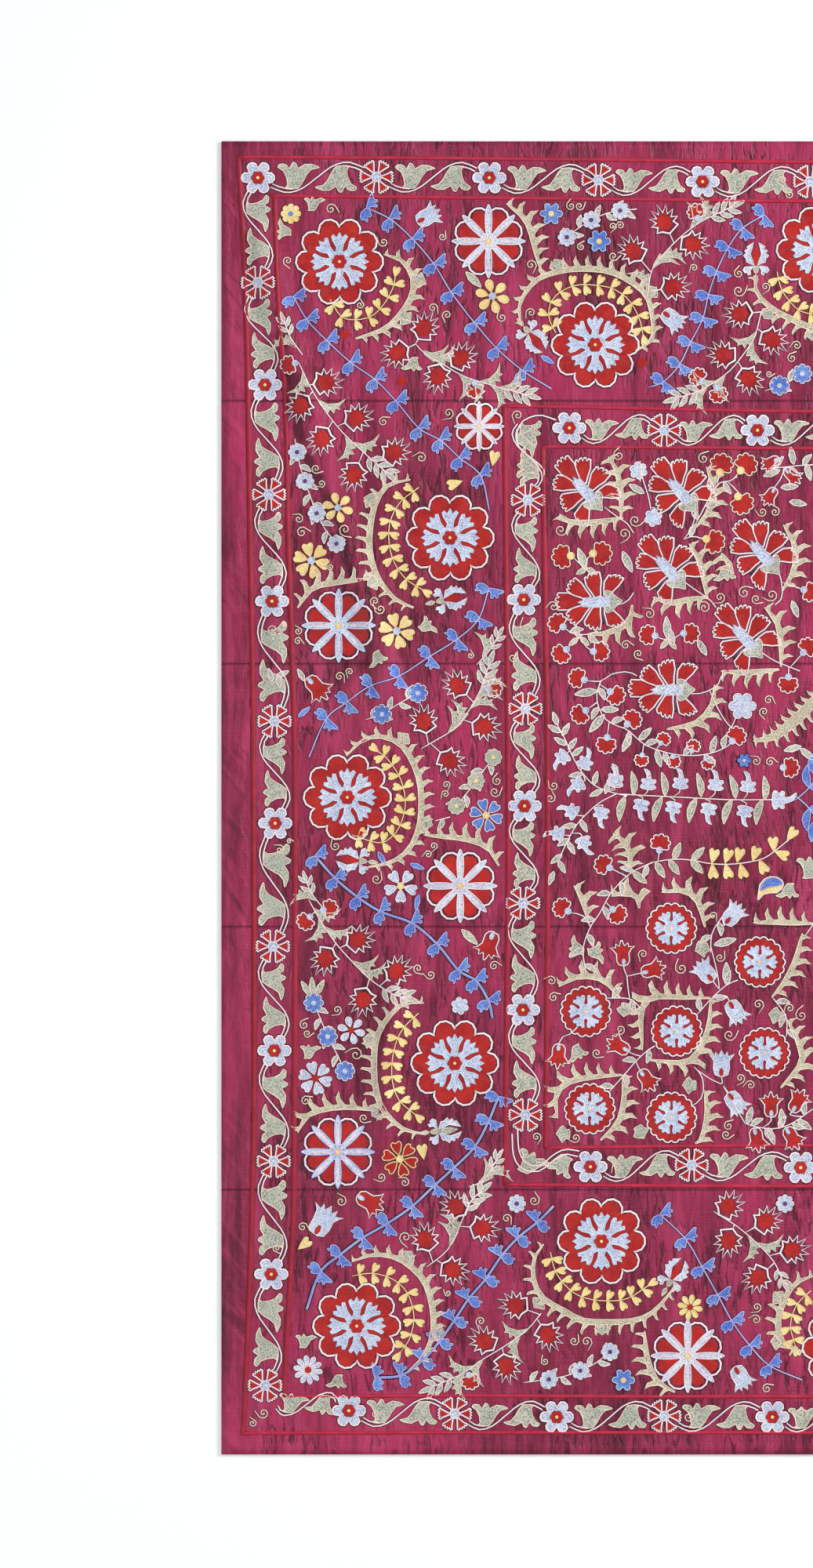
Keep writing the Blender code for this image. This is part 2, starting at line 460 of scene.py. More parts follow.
def fill(outline, thread, layer=0):
    """A filling in rows of chain stitch, as a skin with a rim that goes down into the silk."""
    outline = lean(np.asarray(outline, float), True)
    if len(outline) < 3:
        return
    if not clockwise(outline):
        outline = outline[::-1]
    low, high = outline.min(axis=0), outline.max(axis=0)
    grid_y = np.arange(low[1] + FILL_SPACING / 2, high[1], FILL_SPACING * 0.87)
    grid = [
        (x, y)
        for row, y in enumerate(grid_y)
        for x in np.arange(low[0] + FILL_SPACING / 2 * (1 + row % 2), high[0], FILL_SPACING)
    ]
    points = outline
    if grid:
        grid = np.array(grid)
        grid = grid[inside(grid, outline)]
        if len(grid):
            points = np.vstack([outline, grid[off_outline(grid, outline) > FILL_SPACING * 0.4]])
    made = geometry.delaunay_2d_cdt(
        [Vector(p) for p in points], [], [list(range(len(outline)))], 1, 1e-4, False
    )
    skin, faces = np.array([(p.x, p.y) for p in made[0]]), np.array(made[2])
    if not len(faces):
        return
    faces = faces[inside(skin[faces].mean(axis=1), outline)]
    rim = len(outline)
    places = np.vstack([skin, outline, outline])
    top = FILL_RISE + LAYER_RISE * layer
    rises = np.repeat([top, SUNK], [len(skin) + rim, rim])
    stitch = np.zeros((len(places), 2))
    stitch[: len(skin), 0] = off_outline(skin, outline)
    stitch[len(skin) + rim:, 1] = 1
    upper = len(skin) + np.arange(rim)
    upper_next = len(skin) + (np.arange(rim) + 1) % rim
    skirt = np.vstack([
        np.column_stack([upper, upper + rim, upper_next + rim]),
        np.column_stack([upper, upper_next + rim, upper_next]),
    ])
    work.add(thread, "filling", places, rises, np.vstack([faces, skirt]), stitch)


class Spot:
    """Where a motif stands: its place on the photograph, its size in millimetres, and the way it points.

    A motif is drawn at size 1 from its own origin, pointing along +x. turn is in degrees clockwise
    on the photograph, from pointing right, and flip -1 works it as its mirror image.
    """

    def __init__(self, photo_x, photo_y, size, turn=0, flip=1):
        angle = math.radians(turn)
        self.across = np.array([math.cos(angle), math.sin(angle)]) * size
        self.down = np.array([-math.sin(angle), math.cos(angle)]) * size * flip
        self.origin = drawn([(photo_x, photo_y)])[0]
        self.size = size

    def __call__(self, points):
        points = np.asarray(points, float)
        return self.origin + points[:, :1] * self.across + points[:, 1:] * self.down


def drawn_in(run, by):
    """The closed run moved inwards by this much."""
    steps = np.roll(run, -1, axis=0) - run
    ways = steps / np.maximum(np.hypot(steps[:, 0], steps[:, 1]), 1e-6)[:, None]
    along = ways + np.roll(ways, 1, axis=0)
    square = np.maximum((along * along).sum(axis=1), 1.2)  # so that a sharp corner isn't drawn out
    turn = 1 if clockwise(run) else -1
    return run + np.column_stack([-along[:, 1], along[:, 0]]) * (turn * 2 * by / square)[:, None]


def shape(at, outline, filling=None, edge=None, smooth=True, layer=0, half_width=LINE):
    """A closed motif: its filling, and the line along its edge."""
    run = at(outline)
    if smooth:
        run = through(run, closed=True)
    if filling:
        gap = SILK_GAP * half_width if filling == "red" and edge in ("white", "blush") else 0
        fill(drawn_in(run, gap) if gap else run, filling, layer)
    if edge:
        # Pale fillings reach to their pale edge. Round the others the line's painted shadow lies on the silk
        # as a dark gap.
        inner = 1.0 if filling in (None, "red") else PALE_INNER
        line(run, edge, closed=True, half_width=half_width, layer=layer, inner=inner)


def mirrored(half):
    """A half outline from tip to base, along +y, made whole about the x axis."""
    half = np.asarray(half, float)
    back = half[::-1] * (1, -1)
    keep_first = abs(half[-1][1]) > 1e-9
    return np.vstack([half, back[0 if keep_first else 1: len(back) - (abs(half[0][1]) < 1e-9)]])


def turned(points, angle):
    c, s = math.cos(angle), math.sin(angle)
    points = np.asarray(points, float)
    return np.column_stack([points[:, 0] * c - points[:, 1] * s, points[:, 0] * s + points[:, 1] * c])


def ring(radius, count=14):
    angle = np.arange(count) * 2 * math.pi / count
    return np.column_stack([np.cos(angle), np.sin(angle)]) * radius


def lobes(count, roundness, tip=1.0, steps=7):
    """The outline of round lobes side by side about a centre. roundness is a lobe's own radius."""
    middle, half = tip - roundness, math.pi / count
    sweep = np.linspace(0, math.pi, 200)
    reach = np.arctan2(roundness * np.sin(sweep), middle + roundness * np.cos(sweep))
    last = sweep[np.argmax(reach >= min(half, reach.max()))]
    arc = np.linspace(-last, last, steps)
    one = np.column_stack([middle + roundness * np.cos(arc), roundness * np.sin(arc)])
    return np.vstack([turned(one, 2 * half * k) for k in range(count)])


# ---- motifs

# radius and share of half an arm's sector, from an arm's tip to the slot beside it
SNOWFLAKE_ARM = (
    (1.00, 0.00), (0.96, 0.12), (0.82, 0.30), (0.94, 0.56), (0.90, 0.76), (0.76, 0.78), (0.62, 0.52),
    (0.50, 0.42), (0.40, 0.56), (0.34, 1.00),
)


def snowflake(at, arms, reach, layer):
    half = math.pi / arms
    radii, shares = np.array(SNOWFLAKE_ARM).T
    right = np.column_stack([radii * np.cos(shares * half), radii * np.sin(shares * half)]) * reach
    arm = np.vstack([(right * (1, -1))[::-1][:-1], right[:-1]])
    outline = np.vstack([turned(arm, 2 * half * k) for k in range(arms)])
    shape(at, outline, "pale_blue", "pale_blue", smooth=False, layer=layer, half_width=FINE_LINE)


def rosette(at, petals=10):
    shape(at, lobes(petals, 0.245 * 10 / petals), "red", "white")
    for k in range(petals):
        way = (2 * k + 1) * math.pi / petals
        line(at(turned([(0.84, 0), (0.66, 0)], way)), "red", half_width=1.8)
    snowflake(at, 8, 0.66, layer=1)
    shape(at, lobes(6, 0.055, tip=0.155), "red", "red", layer=2, half_width=FINE_LINE)
    shape(at, ring(0.035, 8), "yellow", layer=3)


def pomegranate(at):
    """A round fruit with a scalloped rim."""
    shape(at, lobes(18, 0.17, tip=0.93, steps=5), "red")
    shape(at, lobes(18, 0.17, steps=5), None, "white", half_width=2.6)
    snowflake(at, 6, 0.68, layer=1)
    shape(at, ring(0.06, 8), "yellow", layer=2)


def star_flower(at, edge="white"):
    """Pointed pale petals with round red ones between them."""
    rim = mirrored([(0.96, 0), (0.93, 0.13), (0.84, 0.235), (0.70, 0.26), (0.50, 0.19), (0.24, 0.06)])
    red_petal = mirrored([(0.87, 0), (0.84, 0.10), (0.76, 0.175), (0.66, 0.185), (0.50, 0.13), (0.30, 0.03)])
    ray = mirrored([(1.0, 0), (0.93, 0.045), (0.82, 0.078), (0.62, 0.088), (0.36, 0.078), (0.10, 0.04)])
    for k in range(8):
        way = k * math.pi / 4
        shape(at, turned(red_petal, way + math.pi / 8), "red")
        shape(at, turned(rim, way + math.pi / 8), None, "white")
    for k in range(8):
        shape(at, turned(ray, k * math.pi / 4), "pale_blue", edge, half_width=2.2, layer=1)
    shape(at, ring(0.085, 8), "yellow", "yellow", layer=2, half_width=1.0)


def six_petals(at):
    """A round pale flower of the narrow borders."""
    shape(at, lobes(6, 0.315), "pale_blue", "white")
    for k in range(6):
        way = (2 * k + 1) * math.pi / 6
        line(at(turned([(0.66, 0), (0.46, 0)], way)), "white", half_width=1.9)
    shape(at, lobes(6, 0.13, tip=0.36), "red", "red", layer=1, half_width=FINE_LINE)
    shape(at, ring(0.10, 8), "yellow", layer=2)


def heart_petals(at):
    """A flower of notched red petals about a pale centre."""
    petal = mirrored([
        (0.93, 0.0), (1.03, 0.09), (0.91, 0.15), (1.0, 0.26), (0.90, 0.33), (0.76, 0.23), (0.60, 0.12),
        (0.40, 0.06), (0.26, 0.03),
    ])
    for k in range(6):
        way = k * math.pi / 3
        shape(at, turned(petal * (0.82, 0.66) + (0.08, 0), way), "red", smooth=False)
        shape(at, turned(petal, way), None, "white", smooth=False, half_width=2.7)
    shape(at, ring(0.30), "pale_blue", "white", layer=1, half_width=1.7)


def palmette(at):
    """A three-lobed leaf of the narrow borders with a horn at each side, on its stem at the origin."""
    outline = [
        (0.0, -0.22), (0.12, -0.15), (0.30, -0.17), (0.52, -0.22), (0.70, -0.33), (0.82, -0.52),
        (0.93, -0.46), (0.94, -0.30), (0.88, -0.18), (0.75, -0.09), (0.88, -0.04), (1.0, 0.06),
        (0.95, 0.16), (0.77, 0.24), (0.88, 0.40), (0.94, 0.62), (0.90, 0.84), (0.80, 1.04), (0.76, 0.80),
        (0.62, 0.62), (0.40, 0.50), (0.16, 0.36), (0.0, 0.20),
    ]
    shape(at, outline, "sage", "blush", half_width=2.2)


def leaf(at, width=0.17, bend=0.0, filling="sage", edge="white"):
    """A pointed leaf from the origin to 1, with its middle bent aside."""
    share = np.array([0, 0.12, 0.35, 0.6, 0.85, 1.0])
    half = width * np.array([0.12, 0.62, 1.0, 0.95, 0.5, 0.0])
    spine = bend * np.sin(share * math.pi)
    upper = np.column_stack([share, spine + half])
    lower = np.column_stack([share, spine - half])[::-1][1:]
    shape(at, np.vstack([upper, lower]), filling, edge, half_width=2.1)


def heart(at):
    outline = mirrored([(0.84, 0), (1.0, 0.15), (0.94, 0.30), (0.70, 0.34), (0.36, 0.19), (0.0, 0.04)])
    shape(at, outline, "yellow", "yellow", half_width=1.9)


CURL_TURNS = 1.55


def spiral(at):
    """A curl about the origin, with a short tail."""
    share = np.linspace(0, 1, 26)
    angle = share * CURL_TURNS * 2 * math.pi
    radius = 1.0 - 0.92 * share**0.85
    curl = np.column_stack([radius * np.cos(angle), radius * np.sin(angle)])
    line(at(np.vstack([[(1.35, -0.55)], curl])), "blush", half_width=1.9)


def spiky_flower(at):
    """A red flower with a ragged rim of white, its stem at the origin and its longest point at 1."""
    # way in degrees from the middle at 0.42, reach of the rim, reach of the red heart
    rows = (
        (0, 0.62, 0.32), (14, 0.31, 0.23), (28, 0.57, 0.32), (42, 0.29, 0.22), (56, 0.52, 0.30),
        (71, 0.28, 0.21), (86, 0.47, 0.28), (102, 0.28, 0.21), (119, 0.43, 0.27), (140, 0.30, 0.23),
    )
    way, rim, heart_reach = np.array(rows).T
    way = np.radians(np.concatenate([way, [180], 360 - way[:0:-1]]))
    for reach, end, filling, edge in ((heart_reach, 0.24, "red", None), (rim, 0.36, None, "white")):
        reach = np.concatenate([reach, [end], reach[:0:-1]])
        outline = np.column_stack([0.38 + reach * np.cos(way), 0.92 * reach * np.sin(way)])
        shape(at, outline, filling, edge, smooth=False, half_width=3.5)


def rosebud(at, base="pale_blue"):
    """An open bud with seven round petals, its base at the origin and its middle at 0.52."""
    petals, sweep = 7, 2.45  # sweep is how far round the rim goes to either side, in radians
    way = np.linspace(-sweep, sweep, 4 * petals + 1)
    reach = 0.41 + 0.11 * np.abs(np.sin((way / sweep + 1) * math.pi * petals / 2)) ** 0.6
    outline = np.column_stack([0.52 + reach * np.cos(way), reach * np.sin(way) * 1.08])
    shape(at, outline, "red", "blush" if base == "yellow" else "white", smooth=False, half_width=2.2)
    shape(at, ring(0.17, 9) + (0.14, 0), base, base, layer=1, half_width=1.7)


def daisy(at, petals=8, filling="pale_blue", edge="white", eye="eye"):
    """A small round flower with a dark eye."""
    shape(at, lobes(petals, 0.30 if petals < 8 else 0.28, steps=5), filling, edge, half_width=2.0, layer=2)
    shape(at, ring(0.26, 8), eye, layer=3)


def loose_petals(at, count, filling, edge, centre, width):
    """A flower of petals that stand apart about a small centre. They are hearts where width is None."""
    if width is None:
        petal = mirrored([(0.90, 0), (1.0, 0.16), (0.88, 0.30), (0.62, 0.26), (0.25, 0.04)])
    else:
        petal = mirrored([(1.0, 0), (0.92, 0.7 * width), (0.70, width), (0.42, 0.6 * width), (0.24, 0.03)])
    for k in range(count):
        shape(at, turned(petal, (k + 0.25) * 2 * math.pi / count), filling, edge, half_width=1.8)
    shape(at, ring(0.20, 9), centre, centre, layer=1, half_width=1.5)


def tulip(at):
    """A bell with pointed petals, its stem at the origin."""
    side = [(0.0, 0.05), (0.05, 0.18), (0.20, 0.27), (0.42, 0.26), (0.62, 0.30), (0.78, 0.50), (0.80, 0.54)]
    mouth = [(0.80, 0.28), (0.96, 0.26), (0.84, 0.11), (1.08, 0.03)]
    half = np.array(through(side).tolist() + mouth)
    shape(at, np.vstack([half, half[::-1] * (1, -1)]), "red", "white", smooth=False, half_width=2.2)
    shape(at, ring(1, 8) * (0.13, 0.08) + (0.17, 0.02), "pale_blue", "pale_blue", layer=1, half_width=1.0)


def bell(at):
    """A large pale bell with five points and a red slot, its stem at the origin."""
    side = [(0.0, 0.07), (0.03, 0.20), (0.14, 0.30), (0.32, 0.32), (0.52, 0.29), (0.72, 0.34), (0.90, 0.52)]
    mouth = [(0.80, 0.26), (0.99, 0.24), (0.82, 0.12), (1.04, 0.0)]
    half = np.array(through(side).tolist() + mouth)
    shape(at, np.vstack([half, half[::-1][1:] * (1, -1)]), "pale_blue", "white", smooth=False, half_width=2.2)
    shape(at, ring(1, 8) * (0.15, 0.07) + (0.17, 0.0), "red", "red", layer=1, half_width=1.3)


def blossom(at):
    """A small lobed flower with a bent tail, its stem at the origin."""
    outline = [
        (0.02, 0.0), (0.03, -0.24), (0.12, -0.38), (0.24, -0.34), (0.30, -0.24), (0.42, -0.36),
        (0.55, -0.30), (0.52, -0.14), (0.68, -0.08), (0.88, -0.16), (1.04, -0.28), (1.0, -0.06),
        (0.84, 0.08), (0.62, 0.12), (0.52, 0.18), (0.54, 0.34), (0.42, 0.38), (0.30, 0.26), (0.24, 0.36),
        (0.12, 0.40), (0.03, 0.26),
    ]
    shape(at, outline, "pale_blue", "white", half_width=2.0)


def round_blossom(at):
    """A small pale flower with six round petals, its stem at the origin."""
    shape(at, lobes(6, 0.17, tip=0.5) + (0.48, 0), "pale_blue", "white", half_width=2.0)


BUD_SIZE = 19  # of a garland's buds, in millimetres


def bud_pair(x, y, way):
    """Two blue buds across the stem of a garland, at this place and with the stem running this way."""
    round_bud = [
        (0.0, -0.12), (0.18, -0.16), (0.34, -0.34), (0.52, -0.42), (0.66, -0.30), (0.60, -0.14),
        (0.78, -0.20), (1.0, -0.26), (1.08, -0.14), (0.90, -0.02), (1.02, 0.10), (1.0, 0.28), (0.80, 0.42),
        (0.50, 0.44), (0.24, 0.32), (0.04, 0.14),
    ]
    horned_bud = [
        (0.0, -0.14), (0.16, -0.10), (0.32, -0.24), (0.34, -0.46), (0.46, -0.60), (0.58, -0.50),
        (0.54, -0.30), (0.70, -0.30), (0.84, -0.42), (0.94, -0.32), (0.84, -0.14), (1.06, 0.02),
        (1.22, 0.22), (1.08, 0.32), (0.70, 0.26), (0.36, 0.20), (0.06, 0.14),
    ]
    shape(Spot(x, y, BUD_SIZE, way + 78), round_bud, "blue", "lavender", half_width=2.1)
    shape(Spot(x, y, BUD_SIZE, way - 88, flip=-1), horned_bud, "blue", "lavender", half_width=2.1)


def garland(run, broad):
    """A stem through places of the photograph, with a pair of blue buds at each but the last."""
    nodes = np.asarray(run[:-1], float)
    work.ways = workings(*nodes.mean(axis=0))
    stem(run, "lavender", half_width=4.2 if broad else 2.4)
    if broad:
        line(through(drawn(run)), "blue", half_width=1.7, layer=1)
    for (x, y), (step_x, step_y) in zip(nodes, np.gradient(nodes, axis=0)):
        bud_pair(x, y, math.degrees(math.atan2(step_y, step_x)))


WOODY = []  # stems that flowers grow from, as runs of places on the photograph
STALK_REACH = 46  # a flower nearer to such a stem than this gets a stalk, in the photograph's pixels
SHORTEST_STALK = 4  # in millimetres


def grown(motif, spots, size, middle=0.5, thread="white", **more):
    """Works a motif at each place, on a stalk from the nearest stem. A turn that is given is kept."""
    for photo_x, photo_y, *turn in spots:
        here = np.array([photo_x, photo_y], float)
        gaps = [(np.hypot(*(run - here).T).min(), k) for k, run in enumerate(WOODY)]
        gap, nearest = min(gaps) if gaps else (1e9, 0)
        work.ways = workings(photo_x, photo_y)
        if gap < STALK_REACH:
            run = WOODY[nearest]
            step = int(np.argmin(np.hypot(*(run - here).T)))
            root = run[max(0, step - int(0.35 * gap))]
            if not turn:
                turn = [math.degrees(math.atan2(*(here - root)[::-1]))]
        at = Spot(photo_x, photo_y, size, *turn)
        at.origin = at.origin - at.across * middle
        if gap < STALK_REACH:
            foot, root = at.origin, drawn([root])[0]
            far = math.dist(root, foot)
            if far > SHORTEST_STALK:
                before = foot - at.across / at.size * 0.4 * far
                stalk = [root, (root + before) / 2, before * 0.7 + foot * 0.3, foot]
                line(through(stalk), thread, half_width=2.0)
        motif(at, **more)


def leafy(places, spacing, size=21):
    """Small leaves along a stem, on one side and the other in turn."""
    run, ways, gone = along_run(places)
    for k, there in enumerate(np.arange(8, gone[-1] - 4, spacing)):
        i, side = int(np.searchsorted(gone, there)), 1 if k % 2 else -1
        leaf(Spot(*run[i], size, ways[i] + side * 48, side), width=0.2, bend=0.08)


def stem(places, thread="white", half_width=2.1):
    """A thin stem through places of the photograph."""
    line(through(drawn(places)), thread, half_width=half_width)


# A thorn, as shares of its length: how far along the branch, and how far out. It sweeps back.
THORN = ((0.0, 0.0), (-0.03, 0.12), (-0.08, 0.30), (-0.10, 0.52), (-0.06, 0.76), (0.08, 1.0), (0.07, 0.74),
         (0.12, 0.48), (0.23, 0.27), (0.37, 0.10), (0.46, 0.0))
BRANCH_ENDS = (0.05, 0.25)  # least width of a branch at its start and at its end, as shares


def branch(places, toward=None, width=7.5, thorn=22, spacing=15):
    """A tapered branch through places of the photograph, with curved thorns along its sides.

    width is its full width and thorn the length of a thorn, in millimetres, and spacing is the
    distance between thorns in the photograph's pixels. The thorns turn away from toward, where
    that place is given, or are on both sides.
    """
    sides = (1, -1)
    if toward is not None:
        named = np.asarray(places, float)
        middle = len(named) // 2
        step = named[min(middle + 1, len(named) - 1)] - named[middle - 1]
        to_point = np.asarray(toward) - named[middle]
        sides = (-1,) if step[0] * to_point[1] - step[1] * to_point[0] > 0 else (1,)
    run = through(drawn(places), step=1.0)
    length = travelled(run)
    total = length[-1]
    ways = np.gradient(run, axis=0)
    ways /= np.maximum(np.hypot(ways[:, 0], ways[:, 1]), 1e-9)[:, None]

    def point(distance, aside):
        distance = min(max(distance, 0), total)
        place = np.array([np.interp(distance, length, run[:, k]) for k in (0, 1)])
        way = np.array([np.interp(distance, length, ways[:, k]) for k in (0, 1)])
        return place + aside * np.array([-way[1], way[0]])

    def half_at(distance):
        share = distance / total
        swell = math.sin(math.pi * min(max(share, 0), 1)) ** 0.6
        ends = BRANCH_ENDS[0] * (1 - share) + BRANCH_ENDS[1] * share
        return width / 2 * max(swell, ends)

    edges = []
    count = max(1, int(round(total / (spacing * PIXEL * 1000))))
    for side in (1, -1):
        points = [point(0, side * half_at(0))]
        for k in range(count):
            start = (k + 0.12) * total / count
            if side in sides:
                grown_by = thorn * (0.5 + 0.5 * math.sin(math.pi * (k + 0.7) / (count + 0.6)))
                for on, out in np.array(THORN) * grown_by:
                    points.append(point(start + on, side * (half_at(start + on) + out)))
            else:
                points.append(point(start, side * half_at(start)))
                points.append(point(start + total / count / 2, side * half_at(start + total / count / 2)))
        points.append(point(total, side * half_at(total)))
        edges.append(points)
    outline = np.array(edges[0] + edges[1][::-1])
    fill(outline, "sand")
    line(outline, "blush", closed=True, half_width=2.1, inner=PALE_INNER)


def trefoil(at):
    """A three-lobed knob with a curl, on a thorny branch."""
    outline = [
        (0.0, -0.30), (0.30, -0.36), (0.52, -0.66), (0.74, -0.44), (0.84, -0.20), (1.04, 0.0), (0.84, 0.20),
        (0.74, 0.46), (0.50, 0.62), (0.30, 0.34), (0.0, 0.30),
    ]
    shape(at, outline, "sage", "blush", half_width=1.7)


def carnation(at):
    """A fan of ragged red petals on a pale calyx, its stem at the origin."""
    # way, root_x, root_y, length, half the width of its end, bend
    petals = (
        (-103, 0.13, -0.07, 0.34, 0.126, -0.26), (-69, 0.28, -0.06, 0.36, 0.132, -0.10),
        (-34, 0.42, -0.04, 0.38, 0.124, -0.05), (3, 0.50, 0.01, 0.42, 0.140, 0.0),
        (38, 0.41, 0.06, 0.38, 0.124, 0.05), (72, 0.27, 0.08, 0.37, 0.132, 0.10),
        (105, 0.13, 0.09, 0.34, 0.126, 0.26),
    )
    # A petal with its ragged end: how far out, and how far aside.
    ragged = np.array([
        (0.0, -0.36), (0.30, -0.62), (0.60, -0.95), (0.82, -1.08), (0.95, -1.00), (0.98, -0.78),
        (0.88, -0.60), (1.03, -0.46), (1.05, -0.20), (0.92, -0.04), (1.06, 0.12), (1.04, 0.36),
        (0.90, 0.50), (1.0, 0.66), (0.96, 0.94), (0.84, 1.08), (0.60, 0.95), (0.30, 0.62), (0.0, 0.36),
    ])
    middles = []
    for way, root_x, root_y, length, width, bend in petals:
        petal = ragged * (length, width)
        petal[:, 1] += bend * length * (petal[:, 0] / length) ** 2
        vein = np.array([(0.15, 0.02 * bend), (0.50, 0.25 * bend), (0.86, 0.74 * bend)]) * length
        petal, vein = (turned(run, math.radians(way)) + (root_x, root_y) for run in (petal, vein))
        shape(at, petal, "red", "white", smooth=False, half_width=2.7)
        middles.append(vein)
    for one, other in zip(middles, middles[1:]):
        line(at((one + other) / 2), "eye", half_width=2.6)  # dark thread between two petals
    calyx = mirrored([
        (0.60, 0), (0.50, 0.035), (0.53, 0.07), (0.42, 0.07), (0.34, 0.085), (0.20, 0.08), (0.08, 0.05),
    ])
    shape(at, calyx, "pale_blue", "pale_blue", smooth=False, layer=1, half_width=1.5)
    cup = mirrored([
        (0.10, 0), (0.11, 0.05), (0.16, 0.10), (0.14, 0.17), (0.05, 0.15), (-0.03, 0.06), (-0.10, 0.015),
    ])
    shape(at, cup, "sage", "white", layer=1, half_width=1.7)


RUN_GAP = 19  # from a border flower's middle to the start of its stem, in millimetres
USUAL_RUN = 172  # from one border flower to the next


def border_run(start, end):
    """The double stem and the two palmettes between one border flower and the next."""
    way = math.degrees(math.atan2(end[1] - start[1], end[0] - start[0]))
    length = math.dist(start, end) * PIXEL * 1000
    at = Spot(*start, 1.0, way)
    runs = (
        ((RUN_GAP, 14.5), (0.24 * length, 23.0), (0.37 * length, 17.0), (0.5 * length, 0.0),
         (0.63 * length, -17.0), (0.76 * length, -23.0), (length - RUN_GAP, -14.5)),
        ((RUN_GAP + 3.0, 9.5), (0.20 * length, 15.5), (0.29 * length, 17.5)),
        ((0.71 * length, -17.5), (0.80 * length, -15.5), (length - RUN_GAP - 3.0, -9.5)),
    )
    for run in runs:
        line(through(at(run)), "white", half_width=2.6)
    for foot, turn in (((0.285 * length, 17.0), way - 90), ((0.715 * length, -17.0), way + 90)):
        here = Spot(0, 0, 38.0 * min(length / USUAL_RUN, 1.1), turn)
        here.origin = at([foot])[0]
        palmette(here)


def winged_bud(at, heart="red"):
    """A pointed bud between two ragged pale wings, with two bracts, a small bud and a leaf behind."""
    wing = np.array([
        (-0.36, 0.08), (-0.06, 0.29), (0.32, 0.34), (0.66, 0.25), (1.0, 0.14), (0.86, 0.34), (0.74, 0.52),
        (0.60, 0.45), (0.52, 0.66), (0.34, 0.56), (0.22, 0.74), (0.04, 0.57), (-0.16, 0.54), (-0.28, 0.32),
    ])
    bract = np.array([
        (-0.38, 0.10), (-0.36, 0.38), (-0.46, 0.66), (-0.64, 0.76), (-0.80, 0.64), (-0.74, 0.50),
        (-0.94, 0.46), (-0.86, 0.32), (-0.64, 0.34), (-0.52, 0.20),
    ])
    for side in (1, -1):
        for outline in (wing, bract):
            shape(at, outline * (1, side), "pale_blue", "white", smooth=False, half_width=2.0)
    spindle = mirrored([(0.78, 0), (0.52, 0.12), (0.22, 0.22), (-0.10, 0.17), (-0.36, 0.02)])
    bud = mirrored([(-0.40, 0), (-0.50, 0.13), (-0.68, 0.14), (-0.84, 0.0)])
    foot_leaf = mirrored([(-0.92, 0), (-1.10, 0.12), (-1.30, 0.09), (-1.48, 0.0)])
    shape(at, spindle, heart)
    shape(at, bud, "sage", "blush", half_width=1.7, layer=1)
    shape(at, foot_leaf, "sage", "blush", half_width=1.7)


def paisley(at):
    """A bent drop, blue over yellow."""
    outline = [
        (0.0, 0.0), (0.10, -0.20), (0.35, -0.31), (0.65, -0.28), (0.92, -0.05), (1.0, 0.35), (1.02, 0.62),
        (0.85, 0.42), (0.60, 0.34), (0.30, 0.34), (0.08, 0.20),
    ]
    shape(at, outline, "yellow", "white", half_width=2.4)
    upper = [
        (0.05, -0.02), (0.15, -0.20), (0.38, -0.27), (0.65, -0.22), (0.86, 0.0), (0.90, 0.24), (0.60, 0.10),
        (0.30, 0.08),
    ]
    shape(at, upper, "blue", "lavender", layer=1, half_width=1.7)


def blot(at):
    """A small uneven patch of red stitches."""
    shape(at, [(1.0, 0.0), (0.4, 0.5), (-0.2, 0.8), (-0.9, 0.3), (-0.7, -0.5), (0.2, -0.7)], "red")


def travelled(run):
    """How far along the run each of its points is."""
    return np.concatenate([[0], np.cumsum(np.hypot(*np.diff(run, axis=0).T))])


def along_run(places):
    """Points, ways in degrees and distances along a smooth run through places of the photograph."""
    run = through(places, step=1.0)
    ways = np.gradient(run, axis=0)
    return run, np.degrees(np.arctan2(ways[:, 1], ways[:, 0])), travelled(run)


HEART_STEP = 17


def heart_sprig(places):
    """A thin stem with pairs of yellow hearts, one pair to HEART_STEP pixels of the photograph."""
    stem(places, "yellow", half_width=1.9)
    run, ways, gone = along_run(places)
    pairs = max(2, round(gone[-1] / HEART_STEP))
    for k in range(pairs):
        i = int(np.searchsorted(gone, gone[-1] * (k + 0.45) / pairs))
        for side in (-1, 1):
            heart(Spot(*run[i], 16, ways[i] + side * 66))
    heart(Spot(*run[-1], 16, ways[-1]))


END_LEAF_STEP = 12  # between pairs of long leaves at a spray's end, in the photograph's pixels
THORN_LEAF_STEP = 14
THORN_LEAF_TURN = 60  # from the way that the stem runs, in degrees
NEAR_FLOWER = 20  # a thorny leaf that comes nearer than this to a spiky flower's place is left out


def spray(places):
    """A white stem with thorny leaves along it, and pairs of long leaves at its end."""
    places = np.asarray(places, float)
    work.ways = workings(*places[len(places) // 2])
    stem(places)
    run, ways, gone = along_run(places)
    leaves, reach = (3, 22) if len(places) > 4 else (2, 17)
    for k in range(leaves):
        i = int(np.searchsorted(gone, gone[-1] - 2 - END_LEAF_STEP * k))
        for side in (-1, 1):
            foot = run[max(0, i - 4 * (side > 0))]
            leaf(Spot(*foot, reach, ways[i] + side * (reach + 19)), bend=0.06 * side)
    leaf(Spot(*run[-1], reach, ways[-1]))
    for k, there in enumerate(np.arange(10, gone[-1] - END_LEAF_STEP * leaves, THORN_LEAF_STEP)):
        i = int(np.searchsorted(gone, there))
        for side in (1, -1) if k % 2 else (-1, 1):
            turn = ways[i] + side * THORN_LEAF_TURN
            way = math.radians(turn)
            on_leaf = run[i] + np.outer((14, 30), (math.cos(way), math.sin(way)))
            if min(math.dist(point, flower) for point in on_leaf for flower in SPIKY_FLOWERS) > NEAR_FLOWER:
                thorn_leaf(Spot(*run[i], 44, turn, flip=-side))
                break


